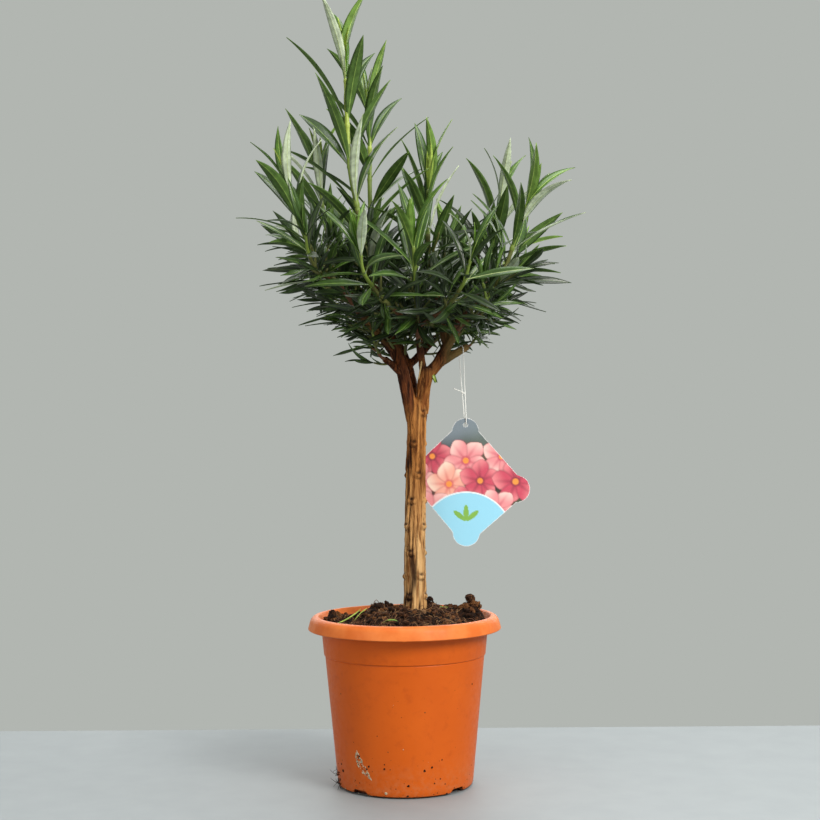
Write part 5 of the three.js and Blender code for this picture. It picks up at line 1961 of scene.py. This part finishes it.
def tag_reach(angle):
    """How far the card reaches from its centre in a direction: its straight edges and its round lobes."""
    ray = np.array([math.cos(angle), math.sin(angle)])
    corners = tag_corners()
    reach = 0
    outline = []
    for corner, following in zip(corners, np.roll(corners, -1, axis=0)):
        edge = unit(following - corner)
        out = np.array([edge[1], -edge[0]])
        out = out if out.dot(corner) > 0 else -out
        outline += [corner + out * TAG["edge_margin"], following + out * TAG["edge_margin"]]
        along = ray.dot(corner)
        inside = along**2 - corner.dot(corner) + TAG["lobe_radius"] ** 2
        if inside > 0 and along > 0:
            reach = max(reach, along + math.sqrt(inside))
    for low, high in zip(outline, outline[1:] + outline[:1]):
        matrix = np.array([ray, low - high]).T
        if abs(np.linalg.det(matrix)) > 1e-9:
            distance, share = np.linalg.solve(matrix, low)
            if distance > 0 and -1e-9 <= share <= 1 + 1e-9:
                reach = max(reach, distance)
    return reach


def tint(colour):
    return np.array(srgb(*colour))


def blend(base, colour, share):
    return base + (colour - base) * share[..., None]


def paint_blossom(picture, x, z, centre, radius, turn, colours):
    """A plain five-petalled blossom, whose petals lie over each other one by one."""
    body, tip, deep = (tint(colour) for colour in colours)
    for k in range(BLOSSOMS["petals"]):
        angle = turn + k * 2 * math.pi / BLOSSOMS["petals"]
        dx, dz = x - centre[0], z - centre[1]
        along = (dx * math.cos(angle) + dz * math.sin(angle)) / radius
        across = (dz * math.cos(angle) - dx * math.sin(angle)) / radius
        reach = np.clip(along, 0, 1)
        half_width = BLOSSOMS["petal_width"] * np.sin(math.pi * reach**1.3) ** 0.7
        room = half_width - np.abs(across + 0.12 * reach**2)
        shadow = smooth_step(-0.09, 0.02, room) * (along > 0) * smooth_step(1.08, 0.96, along)
        picture = blend(picture, deep * 0.45, 0.35 * shadow)
        petal = blend(np.broadcast_to(body, (*x.shape, 3)), tip, smooth_step(0.3, 1, reach + 0.5 * across))
        petal = blend(petal, deep, 0.75 * np.exp(-((across / 0.07) ** 2)) * (1 - reach))
        petal = blend(petal, deep, smooth_step(0.1, 0.0, room) * 0.35)
        picture = blend(picture, petal, smooth_step(0, 0.03, room) * (along > 0))
    away = np.hypot(x - centre[0], z - centre[1]) / radius
    picture = blend(picture, deep, smooth_step(0.26, 0.16, away) * 0.7)
    return blend(picture, tint((248, 150, 56)), smooth_step(0.16, 0.1, away))


def tag_print(x, z):
    """The colour of the card's front at places measured from its centre: a plain print of blossoms."""
    flat = np.stack([x, z, 0 * x], -1)
    shade = smooth_step(-0.5, 0.6, noise(flat, 16, 31))
    picture = blend(np.broadcast_to(tint((24, 30, 20)), (*x.shape, 3)), tint((62, 74, 44)), shade)
    blur = smooth_step(26, 56, z + 10 * noise(flat, (9, 26, 1), 32))
    picture = blend(picture, tint((134, 148, 160)), 0.75 * blur)
    draw = random_from(8)
    for row in range(BLOSSOMS["rows"]):
        for column in range(BLOSSOMS["columns"]):
            across, drop = BLOSSOMS["spacing"]
            left = (column - BLOSSOMS["columns"] / 2) * across + (row % 2) * across / 2
            centre = (left + 6 * (draw() - 0.5), BLOSSOMS["top"] - row * drop + 6 * (draw() - 0.5))
            radius = BLOSSOMS["radius"][0] + (BLOSSOMS["radius"][1] - BLOSSOMS["radius"][0]) * draw()
            colours = BLOSSOMS["colours"][int(draw() * len(BLOSSOMS["colours"]))]
            picture = paint_blossom(picture, x, z, centre, radius, draw() * 6, colours)
    corner = np.hypot(x, z + TAG["half_high"] + LABEL["centre_below"])
    picture = blend(picture, tint((236, 246, 250)), smooth_step(*LABEL["rim"], corner))
    picture = blend(picture, tint((150, 214, 240)), smooth_step(*LABEL["field"], corner))
    leaf_x, leaf_z = x, z + TAG["half_high"] - LABEL["sprig_rise"]
    half_length, half_width = LABEL["leaf_half"]
    for turn in LABEL["leaf_turns"]:
        along = leaf_x * math.sin(turn) + leaf_z * math.cos(turn)
        across = leaf_x * math.cos(turn) - leaf_z * math.sin(turn)
        inside = 1 - ((along - half_length) / half_length) ** 2 - (across / half_width) ** 2
        picture = blend(picture, tint((126, 178, 66)), smooth_step(0, 0.1, inside))
    return np.concatenate([picture, np.ones((*x.shape, 1))], -1)


def card_face():
    """Points and triangles of the card's flat face, with its hole, in its own plane."""
    angles = np.linspace(0, 2 * math.pi, TAG["outline_points"], endpoint=False)
    outline = np.array([tag_reach(a) * np.array([math.cos(a), math.sin(a)]) for a in angles])
    hole_centre = (tag_hole() - np.array(TAG["centre"]))[[0, 2]]
    ring = np.linspace(0, 2 * math.pi, 28, endpoint=False)
    hole = hole_centre + TAG["hole_radius"] * np.stack([np.cos(ring), np.sin(ring)], -1)
    span = np.arange(-72, 72, TAG["grain"])
    grid = np.stack(np.meshgrid(span, span), -1).reshape(-1, 2)
    reach = np.interp(np.arctan2(grid[:, 1], grid[:, 0]) % (2 * math.pi), angles, np.hypot(*outline.T))
    inside = np.hypot(*grid.T) < reach - 0.6 * TAG["grain"]
    clear = np.hypot(*(grid - hole_centre).T) > TAG["hole_radius"] + 0.5 * TAG["grain"]
    grid = grid[inside & clear]
    loops = []
    for start, size in ((0, len(outline)), (len(outline), len(hole))):
        loops += [(start + i, start + (i + 1) % size) for i in range(size)]
    points = [Vector(p) for p in np.concatenate([outline, hole, grid])]
    made = delaunay_2d_cdt(points, loops, [], 1, 1e-5)
    flat = np.array([tuple(p) for p in made[0]])
    triangles = np.array(made[2])
    middle = flat[triangles].mean(1)
    triangles = triangles[np.hypot(*(middle - hole_centre).T) > TAG["hole_radius"] * 0.98]
    return flat, triangles


def make_tag():
    flat, triangles = card_face()
    a, b, c = (flat[triangles[:, i]] for i in range(3))
    turns = np.cross(b - a, c - a) < 0
    triangles[turns] = triangles[turns][:, ::-1]
    half = TAG["thickness"] / 2
    front = np.stack([flat[:, 0], np.full(len(flat), -half), flat[:, 1]], -1)
    back = front + np.array([0, 2 * half, 0])
    directed = np.concatenate([triangles[:, [i, (i + 1) % 3]] for i in range(3)])
    _, index, counts = np.unique(np.sort(directed, 1), axis=0, return_index=True, return_counts=True)
    border = directed[index[counts == 1]]
    count = len(flat)
    sides = np.concatenate([
        np.stack([border[:, 1], border[:, 0], border[:, 0] + count], -1),
        np.stack([border[:, 1], border[:, 0] + count, border[:, 1] + count], -1),
    ])
    points = np.concatenate([front, back]) + np.array(TAG["centre"])
    faces = np.concatenate([triangles, triangles[:, ::-1] + count, sides])
    kinds = np.concatenate([np.zeros(count_of(triangles)), np.ones(count_of(triangles) + count_of(sides))])
    picture = tag_print(flat[:, 0], flat[:, 1])
    # The white of the board shows along the cut edge.
    picture[np.unique(border)] = 0.85
    colours = np.concatenate([picture, np.ones_like(picture)])
    back_look = plain_look("tag_back", srgb(236, 238, 236), 0.4, 0.03)
    looks = [card_look(), back_look]
    card = make_object("tag", points, faces, looks, kinds, smooth=False, colours={"print": colours})
    dress(card, "tag_card", "tag_card")


def count_of(rows):
    return len(rows)


def string_ends():
    """The middle of the string's upper and lower bends: over the bough, and in the top of the hole."""
    bough = bough_line("bough_side")
    high = place_along(bough, STRING["along"] * distances_along(bough)[-1])[0]
    lift = TAG["hole_radius"] - TOUCH_GAP - STRING["radius"] + STRING["half_spread"]
    return high, tag_hole() + np.array([0, 0, lift])


def make_string():
    """One closed loop over the side bough, through a knot and the tag's hole, and the knot's tail."""
    high, low = string_ends()
    bough = bough_line("bough_side")
    across = unit(np.cross(bough[-1] - bough[0], [0, 0, 1]))
    top_radius = through_stops(BOUGHS["bough_side"][1], STRING["along"]) + STRING["radius"] + 2 * TOUCH_GAP
    knot = low + STRING["knot_share"] * (high - low)

    def bend(centre, radius, first_angle):
        turn = first_angle + np.linspace(0, math.pi, 13)
        return centre + radius * (np.outer(np.cos(turn), across) + np.outer(np.sin(turn), (0, 0, 1)))

    over = bend(high, top_radius, 0)
    under = bend(low, STRING["half_spread"], math.pi)
    pinch = np.array([STRING["knot_spread"], 0, 0])
    line = even_line([*over, knot - pinch, *under, knot + pinch, over[0]], 1.2)[:-1]
    turn = np.linspace(0, 2 * math.pi, 60, endpoint=False)
    knot_turns = np.stack([
        (2 + np.cos(3 * turn)) * np.cos(2 * turn) / 3,
        (2 + np.cos(3 * turn)) * np.sin(2 * turn) / 3,
        np.sin(3 * turn) / 2.2,
    ], -1)
    tail_rise = STRING["tail"] * STRING["tail_rise"]
    tail = even_line([knot, knot + (-4, -0.6, 0.5 * tail_rise), knot + (-STRING["tail"], -0.4, tail_rise)], 1)
    shapes = [
        tube(line, STRING["radius"], 8, loop=True),
        tube(knot + knot_turns * STRING["knot_radius"], STRING["radius"], 8, loop=True),
        tube(tail, STRING["radius"], 8),
    ]
    look = plain_look("thread", srgb(236, 236, 232), 0.6, 0.06, 1.0)
    dress(make_object("string", *join_shapes(shapes), [look]), "tag_string", "tag_string")


# Camera, light and table


def make_camera():
    """The camera at the photograph's viewing angle."""
    rise, roll = CAMERA["rise"], CAMERA["roll"]
    forward = Vector((0, math.cos(rise), math.sin(rise)))
    level = Vector((1, 0, 0))
    upright = level.cross(forward)
    right = level * math.cos(roll) - upright * math.sin(roll)
    up = level * math.sin(roll) + upright * math.cos(roll)
    data = bpy.data.cameras.new("camera")
    data.sensor_width = SENSOR
    data.lens = SENSOR * CAMERA["focal_pixels"] / FRAME_PIXELS
    data.clip_start = 0.05
    camera = bpy.data.objects.new("camera", data)
    axes = Matrix((right, up, -forward)).transposed().to_4x4()
    camera.matrix_world = Matrix.Translation(Vector(CAMERA["place"]) * MM) @ axes
    bpy.context.scene.collection.objects.link(camera)
    bpy.context.scene.camera = camera


def add_light(name, place, target, size, power, colour):
    data = bpy.data.lights.new(name, "AREA")
    data.shape = "RECTANGLE"
    data.size, data.size_y = (side * MM for side in size)
    data.energy = power
    data.color = colour
    light = bpy.data.objects.new(name, data)
    light.visible_camera = False
    turn = (Vector(place) - Vector(target)).to_track_quat("Z", "Y").to_matrix().to_4x4()
    light.matrix_world = Matrix.Translation(Vector(place) * MM) @ turn
    bpy.context.scene.collection.objects.link(light)


def make_room():
    """A pale table top, a pale grey surround and soft studio light."""
    corners = [(x, y, 0) for y in (TABLE["front"], TABLE["back"]) for x in (TABLE["left"], TABLE["right"])]
    halves = [(0, 1, 3), (0, 3, 2)]
    look = Look("table", srgb(138, 145, 148), 0.6)
    look.colour(look.mix(look.noise(40, 3), srgb(134, 141, 144), srgb(145, 151, 154)))
    table = make_object("table", np.array(corners, float), halves, [look.material], smooth=False)
    world = bpy.data.worlds.new("surround")
    world.use_nodes = True
    background = world.node_tree.nodes["Background"]
    background.inputs["Color"].default_value = (*srgb(178, 182, 177), 1)
    background.inputs["Strength"].default_value = 1.0
    bpy.context.scene.world = world
    bpy.context.scene.view_settings.view_transform = "Standard"
    for light in LIGHTS:
        add_light(*light)


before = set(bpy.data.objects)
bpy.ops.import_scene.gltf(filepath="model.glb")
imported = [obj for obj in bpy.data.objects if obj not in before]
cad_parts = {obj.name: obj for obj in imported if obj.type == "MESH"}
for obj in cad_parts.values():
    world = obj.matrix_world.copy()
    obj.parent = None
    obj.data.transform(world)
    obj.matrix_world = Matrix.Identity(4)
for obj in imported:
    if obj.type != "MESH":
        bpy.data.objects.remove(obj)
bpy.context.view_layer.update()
make_camera()
make_room()
make_pot()
make_soil()
make_limbs()
make_foliage()
make_tag()
make_string()
